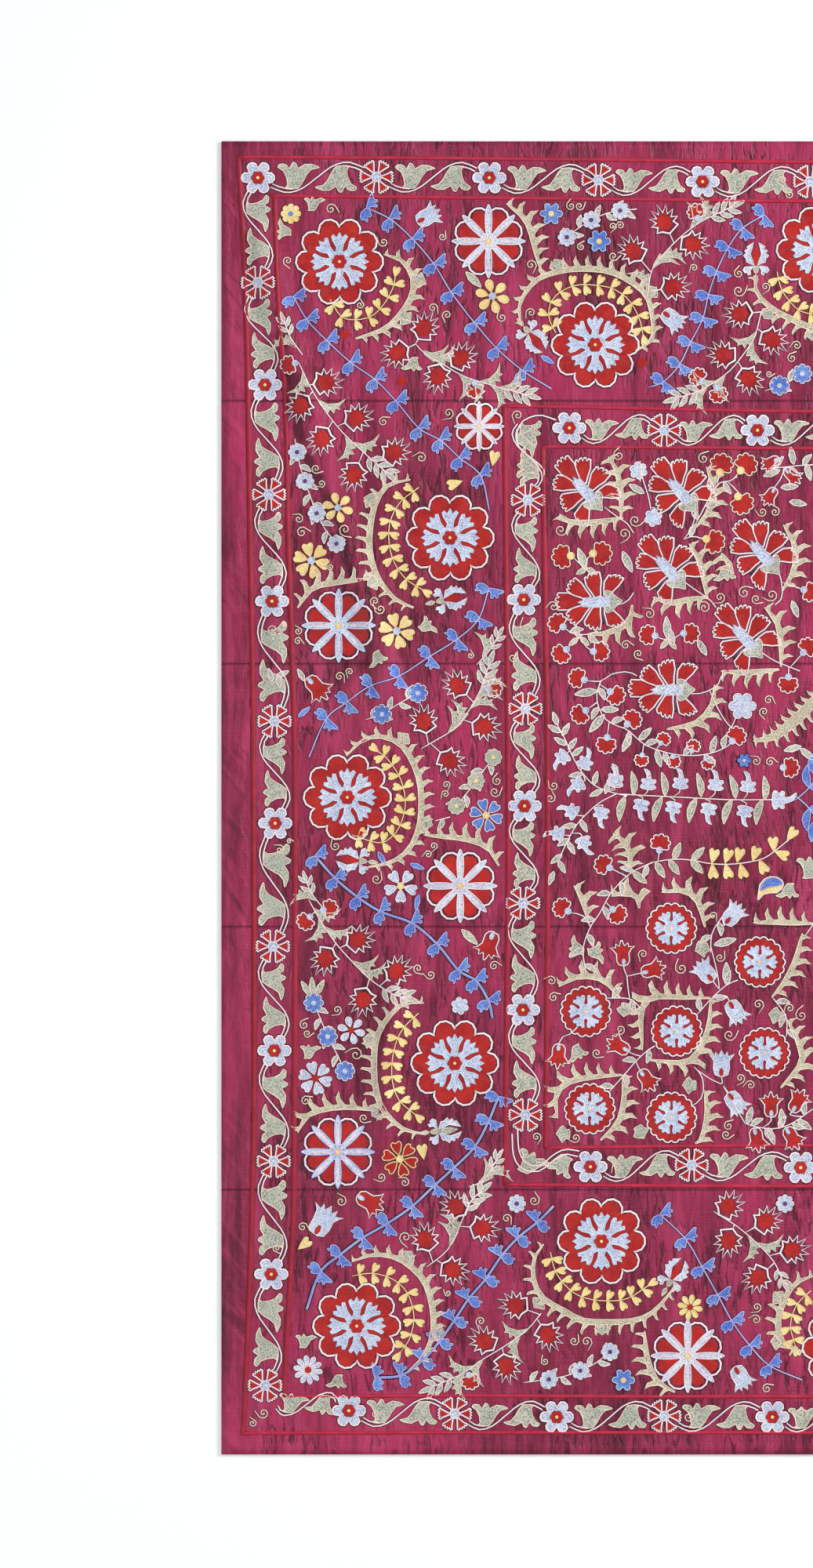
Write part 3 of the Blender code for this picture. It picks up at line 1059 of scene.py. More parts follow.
def thorn_leaf(at):
    """An arched leaf with thorns on its outer side, its foot at the origin."""
    outline = [
        (0.0, 0.0), (0.18, 0.08), (0.34, 0.19), (0.50, 0.22), (0.70, 0.18), (0.88, 0.10), (1.0, 0.0),
        (0.95, 0.08), (0.80, 0.20), (0.73, 0.27), (0.78, 0.38), (0.61, 0.33), (0.56, 0.51), (0.43, 0.35),
        (0.34, 0.50), (0.22, 0.31), (0.08, 0.16),
    ]
    shape(at, outline, "sage", "blush", smooth=False, half_width=2.0)


# ---- what stands where


def place(motif, spots, size, middle=0.0, **more):
    """Works a motif at each place: photo_x, photo_y and, where given, its turn in degrees.

    middle is how far along the motif the named place is, as a share of its size.
    """
    for photo_x, photo_y, *turn in spots:
        work.ways = workings(photo_x, photo_y)
        at = Spot(photo_x, photo_y, size, *turn)
        at.origin = at.origin - at.across * middle
        motif(at, **more)


# Half the width of the ribbed red lines that bound the borders.
UPRIGHT_RED_LINE = 5.0
LEVEL_RED_LINE = 3.4

# The lines that bound the borders, from the left and on to the cloth's middle, or down its left side.
BORDER_LINES = (
    # outer border: its upper lines, its left lines and its lower lines
    ((305, 200.5), (560, 202), (800, 204.5), (1037, 207), (1347.5, 207)),
    ((345, 250), (560, 252), (800, 254.5), (1037, 257), (1347.5, 257)),
    ((304, 200), (308, 270), (312, 340), (315, 450), (317, 560), (319, 700), (322, 860), (323, 1000),
     (324, 1200), (324, 1400), (321, 1550), (316, 1700), (311, 1810), (309, 1829)),
    ((350, 250), (356, 400), (364, 520), (368, 700), (373, 850), (376, 1000), (376, 1250), (375, 1450),
     (374, 1550), (369, 1650), (362, 1781)),
    ((309, 1828), (560, 1827), (800, 1827), (1037, 1827), (1347.5, 1827)),
    ((361, 1781), (560, 1780), (800, 1781), (1037, 1781), (1347.5, 1781)),
    # inner border, in the same order
    ((643, 518), (760, 520), (900, 523), (1037, 525), (1347.5, 525)),
    ((692, 570), (860, 571), (1037, 572), (1347.5, 572)),
    ((643, 518), (645, 700), (647, 900), (648, 1100), (646, 1300), (644, 1511)),
    ((692, 570), (695, 760), (698, 980), (698, 1200), (696, 1464)),
    ((644, 1511), (800, 1512), (1037, 1513), (1347.5, 1513)),
    ((696, 1464), (860, 1462), (1037, 1461), (1347.5, 1461)),
)
work.ways = [AS_DRAWN, OTHER_HALF]
for run in BORDER_LINES:
    upright = run[-1][0] < PHOTO_MIDDLE
    half_width = UPRIGHT_RED_LINE if upright else LEVEL_RED_LINE
    line(through(drawn(run)), "cord" if upright else "braid", half_width=half_width)

# The narrow borders: the kind of their first flower, where their stem starts and ends without a flower,
# and their flowers, of both kinds in turn.
BORDER_STRIPS = (
    (six_petals, [], [(1410, 233)],
     ((329, 227), (480, 226), (624, 227), (763, 230), (896, 232), (1033, 232), (1158, 233), (1285, 233))),
    (heart_petals, [(329, 227)], [(334, 1790)],
     ((329, 361), (338, 491), (343, 631), (347, 767), (350, 920), (351, 1050), (348, 1207), (350, 1340),
      (349, 1481), (346, 1625), (338, 1767))),
    (six_petals, [(338, 1782)], [],
     ((445, 1799), (580, 1803), (710, 1807), (847, 1806), (985, 1807), (1106, 1807), (1227, 1807),
      (1347.5, 1807))),
    (six_petals, [(673, 548)], [],
     ((726, 546), (847, 549), (966, 549), (1093, 549), (1220, 549), (1347.5, 549))),
    (heart_petals, [(672, 525)], [(668, 1500)],
     ((673, 638), (668, 765), (670, 904), (669, 1028), (667, 1152), (667, 1288), (670, 1422))),
    (six_petals, [], [(1413, 1488)],
     ((753, 1488), (882, 1486), (1021, 1489), (1152, 1488), (1282, 1488))),
)
LEAST_RUN = 90  # between two flowers that have a stem between them
for first_kind, start, end, flowers in BORDER_STRIPS:
    stops = [*start, *flowers, *end]
    for here, after in zip(stops, stops[1:]):
        work.ways = [AS_DRAWN, OTHER_HALF]
        if math.dist(here, after) > LEAST_RUN:
            border_run(here, after)
    other_kind = heart_petals if first_kind is six_petals else six_petals
    place(first_kind, flowers[::2], 25)
    place(other_kind, flowers[1::2], 25)

# The corners of the inner border, where its stem turns.
work.ways = [AS_DRAWN, OTHER_HALF]
for run in (
    ((709, 536), (691, 530), (677, 532), (665, 539), (659, 553), (661, 569), (672, 580), (686, 591),
     (694, 601), (690, 615)),
    ((653, 1446), (655, 1474), (665, 1490), (686, 1494), (702, 1483), (718, 1472), (737, 1475)),
    ((660, 1440), (662, 1468), (672, 1484), (690, 1486), (704, 1474), (720, 1466), (739, 1468)),
):
    line(through(drawn(run)), "white", half_width=2.6)
place(palmette, [(666, 1494, -62)], 34)
place(palmette, [(725, 1476, 118), (664, 546, 12), (685, 600, 190)], 31)

# -- the wide border

place(rosette, [
    (433, 334), (759, 440), (1046, 319), (574, 686), (443, 1017), (580, 1356), (455, 1691), (767, 1583),
    (1079, 1719),
], 67)
place(star_flower, [(623, 308), (587, 1130), (877, 1729)], 56)
place(star_flower, [(611, 544)], 38)
place(star_flower, [(432, 798)], 56, edge="pale_blue")
place(star_flower, [(431, 1469)], 56, edge="lavender")

# Thorny crescents about the rosettes: the rosette, then places along the crescent.
CRESCENTS = (
    ((433, 334), (490, 325), (513, 333), (527, 356), (525, 378), (511, 401), (490, 420), (454, 432)),
    (
        (759, 440), (664, 414), (662, 392), (669, 375), (686, 356), (714, 346), (742, 343), (776, 346),
        (804, 359), (825, 378), (832, 406), (832, 432), (811, 448),
    ),
    ((1046, 319), (962, 352), (966, 375), (985, 394), (1007, 406), (1037, 418), (1075, 414), (1108, 394)),
    (
        (574, 686), (523, 612), (495, 619), (479, 642), (472, 674), (472, 707), (483, 739), (504, 764),
        (527, 775),
    ),
    (
        (443, 1017), (442, 964), (460, 946), (483, 939), (509, 948), (525, 969), (536, 1001), (536, 1047),
        (523, 1081), (500, 1099), (470, 1106),
    ),
    (
        (580, 1356), (540, 1279), (513, 1281), (490, 1304), (479, 1329), (477, 1359), (479, 1387),
        (488, 1414), (513, 1439), (540, 1446),
    ),
    (
        (455, 1691), (449, 1609), (471, 1601), (494, 1601), (515, 1609), (540, 1632), (551, 1665),
        (552, 1700), (540, 1730), (520, 1750),
    ),
    (
        (767, 1583), (693, 1587), (681, 1606), (681, 1634), (693, 1656), (716, 1670), (742, 1684),
        (768, 1686), (808, 1684), (834, 1672), (860, 1642),
    ),
    ((1079, 1719), (1037, 1627), (1014, 1637), (999, 1660), (992, 1689), (999, 1712), (1023, 1724)),
)
for centre, *run in CRESCENTS:
    work.ways = workings(*centre)
    branch(run, toward=centre, width=8.0, thorn=17, spacing=14.5)
    for k in (len(run) // 3, 2 * len(run) // 3):
        turn = math.degrees(math.atan2(run[k][1] - centre[1], run[k][0] - centre[0]))
        trefoil(Spot(*run[k], 19, turn))

HEART_SPRIGS = (
    ((421, 382), (435, 404), (452, 408), (473, 404), (489, 389), (501, 368), (504, 354)),
    (
        (709, 425), (700, 406), (702, 387), (714, 373), (735, 364), (757, 364), (780, 368), (801, 382),
        (815, 406), (820, 427),
    ),
    ((991, 347), (996, 368), (1008, 386), (1023, 398), (1046, 401), (1075, 396), (1100, 378)),
    ((534, 622), (511, 640), (498, 664), (496, 690), (502, 716), (517, 738), (538, 752)),
    (
        (449, 1065), (483, 1075), (500, 1067), (511, 1051), (517, 1024), (511, 994), (495, 969), (483, 959),
    ),
    ((534, 1292), (513, 1313), (502, 1341), (500, 1375), (509, 1403), (529, 1421)),
    ((449, 1627), (476, 1624), (502, 1632), (520, 1650), (528, 1680), (522, 1708), (511, 1724)),
    (
        (702, 1597), (709, 1623), (728, 1646), (749, 1656), (775, 1659), (800, 1656), (826, 1640),
    ),
    ((1034, 1646), (1016, 1664), (1008, 1690), (1014, 1716)),
)
for run in HEART_SPRIGS:
    work.ways = workings(*run[len(run) // 2])
    heart_sprig(run)

GARLANDS = (
    (
        (469, 266), (498, 280), (527, 306), (554, 338), (576, 374), (606, 413), (634, 445), (668, 474),
        (703, 496),
    ), (
        (375, 380), (392, 409), (418, 436), (448, 463), (479, 485), (506, 513), (535, 547), (562, 562),
        (587, 585), (613, 607), (624, 651),
    ), (
        (623, 752), (610, 790), (582, 816), (547, 838), (508, 863), (472, 875), (442, 896), (416, 917),
        (394, 966),
    ), (
        (403, 1093), (428, 1121), (457, 1145), (486, 1163), (526, 1178), (558, 1205), (585, 1238),
        (607, 1251), (623, 1277), (628, 1299),
    ), (
        (635, 1400), (623, 1430), (605, 1463), (578, 1490), (554, 1512), (525, 1539), (493, 1561),
        (462, 1579), (433, 1601), (408, 1623), (391, 1670),
    ), (
        (480, 1757), (512, 1754), (540, 1734), (561, 1710), (580, 1683), (598, 1656), (620, 1630),
        (640, 1601), (661, 1578), (686, 1558), (706, 1538),
    ), (
        (973, 275), (946, 292), (928, 317), (913, 348), (903, 378), (896, 407), (880, 438), (866, 466),
        (845, 488), (827, 494),
    ), (
        (843, 1550), (874, 1580), (896, 1617), (916, 1653), (934, 1686), (957, 1717), (982, 1742),
        (1023, 1760),
    ),
)
BROAD_GARLANDS = (3, 4, 5)  # at the left, where two threads run side by side
for k, run in enumerate(GARLANDS):
    garland(run, broad=k in BROAD_GARLANDS)

SPIKY_FLOWERS = (
    (506, 451), (541, 418), (588, 456), (558, 481), (416, 488), (383, 519), (455, 533), (410, 561),
    (503, 577), (451, 606), (847, 283), (807, 320), (884, 312), (859, 366), (943, 401), (985, 434),
    (922, 453), (955, 484), (583, 874), (618, 927), (540, 919), (574, 971), (457, 1198), (415, 1224),
    (506, 1238), (463, 1276), (581, 1538), (616, 1566), (542, 1580), (578, 1620), (657, 1665), (617, 1710),
    (699, 1703), (646, 1743), (929, 1538), (929, 1583), (977, 1557), (1011, 1594), (966, 1630),
)
SPRAYS = (
    ((381, 463), (399, 500), (419, 530), (440, 555), (467, 580), (493, 603)),
    ((530, 439), (544, 453), (565, 465), (589, 479), (608, 486), (636, 494), (672, 504)),
    ((825, 382), (830, 349), (839, 333), (863, 307), (889, 286), (912, 274), (933, 264)),
    ((971, 397), (962, 430), (945, 456), (926, 477), (893, 498), (863, 508)),
    ((537, 955), (558, 943), (576, 932), (590, 918), (606, 893), (615, 874), (624, 847)),
    ((394, 1148), (408, 1173), (426, 1200), (444, 1221), (472, 1249), (500, 1267), (516, 1272)),
    ((544, 1616), (568, 1597), (580, 1578), (591, 1552), (601, 1531), (613, 1520)),
    ((690, 1675), (672, 1696), (643, 1717), (615, 1734), (589, 1752), (551, 1769)),
    ((910, 1545), (945, 1568), (983, 1604), (999, 1635)),
    ((386, 453), (377, 441), (370, 430), (363, 412)),
    ((412, 1158), (402, 1146), (395, 1135), (391, 1124)),
    ((608, 848), (617, 838), (627, 826), (635, 812)),
    ((598, 1513), (613, 1508), (624, 1495), (634, 1478)),
)
for run in SPRAYS:
    spray(run)

for run in SPRAYS[:9]:
    WOODY.append(along_run(run)[0])

# Thorny branches: the point that their thorns turn away from, where they have one row, then places.
BORDER_BRANCHES = (
    ((640, 320), (646, 260), (669, 279), (679, 302), (683, 321), (690, 345)),
    ((425, 800), (470, 739), (431, 743), (399, 750), (380, 775)),
    ((590, 1120), (541, 1065), (564, 1067), (594, 1070), (622, 1081), (636, 1104)),
    ((430, 1480), (380, 1444), (392, 1423), (417, 1414), (444, 1412), (477, 1416)),
    ((900, 1720), (822, 1698), (825, 1731), (837, 1760), (860, 1775)),
)
for away, *run in BORDER_BRANCHES:
    work.ways = workings(*run[1])
    branch(run, toward=away)

grown(spiky_flower, SPIKY_FLOWERS, 50, middle=0.42)

grown(rosebud, [
    (369, 466), (605, 497), (888, 271), (890, 481), (916, 503), (629, 878), (420, 1159), (390, 1175),
    (600, 1761),
], 26)
place(daisy, [
    (723, 303), (754, 281), (791, 269), (379, 577), (389, 614), (404, 655), (429, 694), (659, 1535),
    (700, 1759), (740, 1748), (778, 1724), (1001, 1535),
], 13.5)
place(daisy, [
    (703, 273), (764, 308), (795, 1760),
], 17, petals=6, filling="blue", edge="pale_blue", eye="yellow")
place(daisy, [
    (533, 884), (487, 911), (994, 492), (1023, 477), (400, 1279), (418, 1322), (440, 1366),
], 15, filling="blue", edge="white", eye="pale_blue")
place(daisy, [(629, 966), (607, 996), (582, 1028)], 13, petals=9, filling="sage", edge="blush", eye="yellow")
place(daisy, [(371, 273)], 15, filling="yellow", edge="yellow", eye="blue")
# photo_x, photo_y, size, petals, filling, edge, centre, half a petal's width, or None where it is a heart
for photo_x, photo_y, size, count, filling, edge, centre, width in (
    (628, 378, 26, 6, "yellow", "yellow", "pale_blue", 0.24),
    (431, 648, 23, 6, "yellow", "yellow", "pale_blue", 0.24),
    (880, 1667, 19, 8, "yellow", "yellow", "red", 0.21),
    (397, 715, 27, 6, "yellow", "yellow", "pale_blue", None),
    (506, 805, 27, 6, "yellow", "yellow", "pale_blue", None),
    (510, 1478, 27, 6, "red", "yellow", "yellow", None),
    (511, 1130, 25, 5, "pale_blue", "white", "yellow", None),
    (620, 1040, 25, 6, "blue", "white", "yellow", None),
    (402, 1375, 25, 6, "pale_blue", "white", "red", None),
    (448, 1314, 21, 6, "pale_blue", "white", "red", 0.24),
    (393, 1747, 22, 10, "pale_blue", "white", "red", 0.18),
):
    work.ways = workings(photo_x, photo_y)
    loose_petals(Spot(photo_x, photo_y, size), count, filling, edge, centre, width)
place(round_blossom, [(587, 1283, 20)], 26, middle=0.5)
place(heart, [(630, 585, -80), (580, 617, 160), (388, 1587, -40), (539, 1469, -100)], 22, middle=0.5)
place(tulip, [(404, 877, 48), (624, 1205, 110), (471, 1533, 30)], 42, middle=0.5)
place(bell, [(546, 276, -30), (858, 408, 40), (945, 1757, 60)], 38, middle=0.5)
place(bell, [(412, 1557, -60)], 48, middle=0.5)
place(winged_bud, [(680, 431, 50), (964, 331, -90), (574, 764, -12), (450, 1097, 186), (860, 1625, -60)], 26)
place(winged_bud, [(567, 1442, -6)], 26, heart="sage")
place(leaf, [(594.5, 347.5, 45), (589, 1186, 43)], 32, edge="blush")
place(leaf, [(396, 1270, -122), (399, 1268, -94), (403, 1269, -62)], 26, edge="blush")
place(leaf, [
    (698, 459, 30), (388, 908, -40), (487, 1095, 60), (532, 1105, 20), (532, 1151, 100),
], 22, middle=0.5, filling="blue", edge="lavender")
place(palmette, [
    (397, 262, -90), (364, 297, 180), (529, 463, 90), (541, 798, -40), (483, 837, 60), (392, 1343, -90),
    (386, 1712, -90), (433, 1760, 90),
], 20, middle=0.4)

# Stems of the small daisies, with their leaves.
for run in (
    ((712, 312), (723, 303), (738, 291), (754, 281), (772, 273), (791, 269), (812, 267)),
    ((376, 560), (379, 577), (383, 596), (389, 614), (396, 634), (404, 655), (414, 674), (429, 694)),
    ((668, 1763), (684, 1761), (700, 1759), (720, 1755), (740, 1748), (760, 1738), (778, 1724)),
    ((466, 918), (487, 911), (508, 898), (533, 884)),
    ((400, 1279), (409, 1300), (418, 1322), (430, 1345), (440, 1366)),
    ((975, 499), (994, 492), (1008, 486), (1023, 477)),
    ((629, 966), (618, 981), (607, 996), (595, 1012), (582, 1028)),
    ((574, 1042), (555, 1047)),
):
    work.ways = workings(*run[len(run) // 2])
    stem(run, half_width=1.9)
    leafy(run, spacing=13, size=19)

# -- the field

# Stems that the field's flowers grow from, with the spacing of their leaves, where they have any.
FIELD_STEMS = (
    (0, (771, 647), (782.5, 656), (793, 663), (800, 668), (808, 680)),
    (0, (793, 663), (790, 658)),
    (0, (732, 712), (745, 723), (750, 711), (761, 707)),
    (0, (787, 772), (800, 767), (808, 756)),
    (24, (720, 801), (732, 809), (750, 809), (762, 805)),
    (0, (725, 826), (737, 815), (743, 809)),
    (0, (755, 831), (744, 821), (740, 810)),
    (0, (748, 868), (766, 869), (780, 860), (800, 857), (812, 862)),
    (26, (766, 869), (761, 886), (764, 904), (773, 918), (787, 926), (800, 931), (821, 949), (840, 957),
     (865, 963), (895, 963), (915, 958), (927, 952)),
    (0, (709, 922), (720.5, 943), (732, 968.6), (743.5, 987), (760, 1003), (785, 1012), (800, 1015)),
    (0, (785, 1013), (764, 1024), (746, 1040), (734, 1054), (725, 1070), (713, 1095)),
    (0, (784, 1012.5), (830, 1015), (870, 1017), (930, 1020), (984, 1020)),
    (0, (727.5, 1164), (743.5, 1168), (753, 1182)),
    (20, (833, 1099.5), (805, 1113), (780, 1138), (764, 1166), (753, 1182), (743.5, 1210), (747, 1240)),
    (0, (833, 1099.5), (858, 1096), (881, 1097), (908.6, 1101.8), (938.5, 1101.8), (970.6, 1096),
     (987, 1086), (1006, 1071)),
    (0, (876, 884), (890, 885), (904, 881), (915.5, 873), (920, 862)),
    (0, (886, 638), (887, 652), (884, 668), (878, 680), (872, 688)),
    (22, (872, 688), (884, 684), (897, 688)),
    (20, (886, 670), (914, 620), (928, 615), (940, 608)),
    (0, (928, 615), (938, 624), (944, 632)),
    (0, (816, 588), (820, 612), (826, 630), (830, 650)),
    (0, (871, 741), (886, 752), (905, 765), (913, 775)),
    (0, (990, 723), (996, 740), (997, 762), (988, 772)),
    (0, (968, 830), (986, 842), (1000, 848), (1020, 856)),
    (18, (980, 598), (1000, 596), (1020, 594), (1037, 593)),
    (0, (1000, 596), (996, 610), (985, 625)),
    (24, (888, 1295), (908.6, 1272), (927, 1256), (941, 1250)),
    (0, (885.6, 1361), (895, 1373), (897, 1391), (892.5, 1403), (883, 1410)),
    (22, (835, 1334), (824, 1341), (810, 1354.5), (794, 1373), (777, 1392)),
    (20, (984, 1271), (996, 1286), (1003, 1299), (1003, 1322)),
    (18, (950, 1432.6), (964, 1437), (987, 1439.5), (1010, 1432.6), (1037, 1414), (1060, 1400)),
    (24, (773, 1273), (803, 1274), (817, 1286)),
    (0, (799.5, 1245), (801, 1262), (803, 1274)),
    (0, (1026, 1195), (1040, 1176), (1060, 1165)),
    (20, (921, 1169), (908, 1190), (906, 1215)),
    (0, (835, 811), (844, 815), (852, 816), (862, 813), (871, 806)),
    (0, (718, 1322), (728, 1318), (736, 1310)),
)
for leaves, *run in FIELD_STEMS:
    work.ways = workings(*run[1])
    stem(run)
    WOODY.append(along_run(run)[0])
    if leaves:
        leafy(run, spacing=leaves)

place(carnation, [
    (744, 624, -131), (866, 626, -130), (850, 724, -131), (970, 705, -130), (948, 812, -131),
    (757, 768, 178), (850, 880, 180),
], 97, middle=0.34)
place(pomegranate, [
    (856, 1184), (969, 1227), (747, 1290), (863, 1315), (975, 1343), (752, 1414), (856, 1425),
], 39)

FIELD_BRANCHES = (
    (None, (776, 583), (786, 600), (792, 630), (792, 661)),
    ((750, 640), (714, 656), (722, 664), (750, 667), (794, 661)),
    ((870, 640), (901, 596), (910, 622), (905, 650), (888, 672)),
    ((860, 740), (879, 694), (892, 716), (898, 740), (902, 764)),
    ((860, 720), (833, 762), (856, 769), (881, 764), (902, 762)),
    ((970, 710), (999, 670), (1013, 695), (1013, 725), (998, 753)),
    ((950, 820), (975, 775), (991, 794), (996, 821), (996, 850)),
    ((950, 840), (920, 856), (952, 858), (993, 854)),
    ((850, 890), (911, 874), (908, 899), (888, 922), (851, 930)),
    ((756, 790), (752, 808), (771, 808), (800, 795), (806, 772)),
    ((856, 1184), (844, 1138), (872, 1136), (890, 1150), (899, 1182)),
    ((969, 1250), (961, 1177), (987, 1176), (1010, 1177), (1037, 1178)),
    ((747, 1290), (713, 1258), (732, 1247), (751, 1245), (771, 1251), (790, 1272)),
    ((864, 1315), (819, 1339), (818, 1290), (833, 1272), (872, 1272), (905, 1273)),
    ((864, 1315), (906, 1274), (905, 1300), (897, 1329), (876, 1354), (829, 1352)),
    ((969, 1227), (1023, 1191), (1014, 1226), (1000, 1253), (985, 1271)),
    ((975, 1343), (1004, 1301), (1017, 1327), (1022, 1355), (996, 1387)),
    ((752, 1414), (711, 1426), (709, 1398), (725, 1380), (760, 1373), (792, 1371)),
    ((752, 1414), (794, 1371), (796, 1398), (789, 1430), (766, 1454)),
    ((855, 1426), (899, 1391), (902, 1421), (895, 1451), (887, 1458)),
    (None, (782, 1063), (794, 1072), (803, 1088), (803, 1112)),
    ((797, 1160), (780, 1143), (797, 1139), (812, 1144), (815, 1158)),
    ((720, 1150), (732, 1130), (742, 1145), (750, 1172)),
    ((960, 700), (920, 706), (928, 716), (935, 732)),
)
for away, *run in FIELD_BRANCHES:
    work.ways = workings(*run[1])
    branch(run, toward=away)
work.ways = workings(961, 945)
branch(((961, 945), (987, 939), (1010, 922), (1037, 895), (1060, 862)), width=15, thorn=15, spacing=12)

grown(rosebud, [
    (718, 710, 175), (766, 706, 0), (920, 593), (951, 593), (946, 642, 60), (910, 691, 20),
], 33, base="yellow")
grown(rosebud, [
    (711, 795), (716, 834), (765, 831), (827, 810), (880, 808), (806, 918), (939, 939, -50), (1007, 979),
    (1005, 872), (1033, 755), (1030, 826), (737, 865), (785, 887), (740, 911), (773, 949), (770, 1103),
    (717, 1158), (787, 1166), (842, 1076),
], 28)
grown(rosebud, [(846, 943), (884, 952), (818, 969), (859, 971), (903, 973)], 20)
grown(tulip, [(983, 591, 150), (1010, 607, 45), (982, 633, 125)], 29)
grown(round_blossom, [(814, 600, -100), (833, 661, 100)], 27)
grown(round_blossom, [(947, 900, -60)], 42)
grown(blossom, [
    (714, 969), (748, 969, -60), (733, 1003, 150), (785, 989, -80), (725, 1033, -150), (766, 1042, 100),
    (707, 1063), (746, 1079, 70),
], 30)
grown(bell, [(935, 1166, -50), (899, 1239, -130), (938, 1291, 60), (920, 1357, -90), (938, 1407, 55)], 38)
grown(tulip, [
    (794, 1217, -95), (832, 1237, -15), (789, 1334, -150), (825, 1377, 55), (983, 1410, -90),
    (1017, 1405, -60), (965, 1453, 80), (1010, 1451, 60), (712, 1346, 95),
], 36)
grown(blossom, [
    (785, 992, -85), (827, 995, -85), (868, 994, -85), (913, 996, -85), (954, 998, -85), (817, 1032, 100),
    (858, 1035, 100), (903, 1037, 100), (949, 1040, 100),
], 30, thread="blush")
place(blossom, [(984, 1020, 0)], 36)
LEVEL_LEAVES = (
    (36, (808, 1014, -95), (848, 1015, -98), (894, 1016, -100), (938, 1018, -104), (975, 1020, -92)),
    (39, (797, 1016, 103), (844, 1017, 109), (888, 1018, 107), (933, 1020, 108), (972, 1020, 104)),
)
for size, *spots in LEVEL_LEAVES:
    place(leaf, spots, size, edge="blush", width=0.14, bend=0.07)
place(leaf, [
    (772, 1012, -75), (347, 869, -105), (353, 863, -25), (357, 876, -100), (388, 868, -120),
], 20, width=0.2)
place(heart, [
    (908, 1101, -78), (925, 1101, -74), (940, 1100, -76), (960, 1098, -72), (987, 1086, -95),
    (1004, 1072, -55), (908, 1102, 84), (925, 1102, 74), (944, 1102, 74), (968, 1097, 62), (988, 1086, 22),
], 22)
place(leaf, [
    (859, 1096, -68), (882, 1097, -45), (807, 1112, 40), (836, 1100, 60), (853, 1097, 55), (881, 1097, 48),
], 27, edge="blush", width=0.2)
place(leaf, [
    (711, 925, -110), (714, 934, -150), (717, 938, -60), (722, 950, -150), (725, 956, -55), (730, 964, -40),
    (706, 1112, 110), (712, 1098, 60), (716, 1090, 140), (724, 1074, 60), (726, 1070, 150),
    (734, 1052, 170), (740, 1046, 60), (743, 987, 170), (757, 1001, -75), (768, 1008, 155),
], 21, width=0.2)
place(leaf, [
    (1012, 592, -100), (994, 600, 160), (1028, 592, 75), (996, 622, -5), (1007, 640, 10), (821, 629, -150),
    (1010, 767, 70), (858, 823, -100), (890, 817, 60), (767, 905, 0), (803, 939, 115), (815, 944, -45),
    (837, 957, 75), (907, 960, -75), (1021, 952, 165), (1021, 955, 40), (980, 1439, 70), (953, 1433, -75),
    (1017, 1428, 35), (998, 1436, -95),
], 26, width=0.19)
place(leaf, [
    (852, 815, -95), (747, 726, -110), (794, 704, 65), (761, 881, 170), (770, 912, 130), (911, 1205, -15),
    (927, 1256, -92),
], 34)
place(leaf, [
    (852, 816, 130), (853, 816, 52), (748, 725, 150), (748, 725, 28), (737, 813, -100), (737, 814, 140),
    (740, 813, 42),
], 18, edge="blush", width=0.22)
place(paisley, [(999, 1128, 180, -1)], 38)
place(daisy, [(949, 970)], 10, petals=6, filling="blue", edge="blue", eye="pale_blue")
place(trefoil, [
    (895, 1210, 160), (797, 1288, 100), (879, 1384, 180), (989, 1295, 190), (817, 1444, 60),
    (718, 1446, 180),
], 20, middle=0.5)
place(palmette, [(744, 1214, 188), (750, 1214, -12), (734, 1333, 62), (926, 722, 80), (1008, 1127, 88)], 22)
place(palmette, [(1030, 1120, -90)], 32)

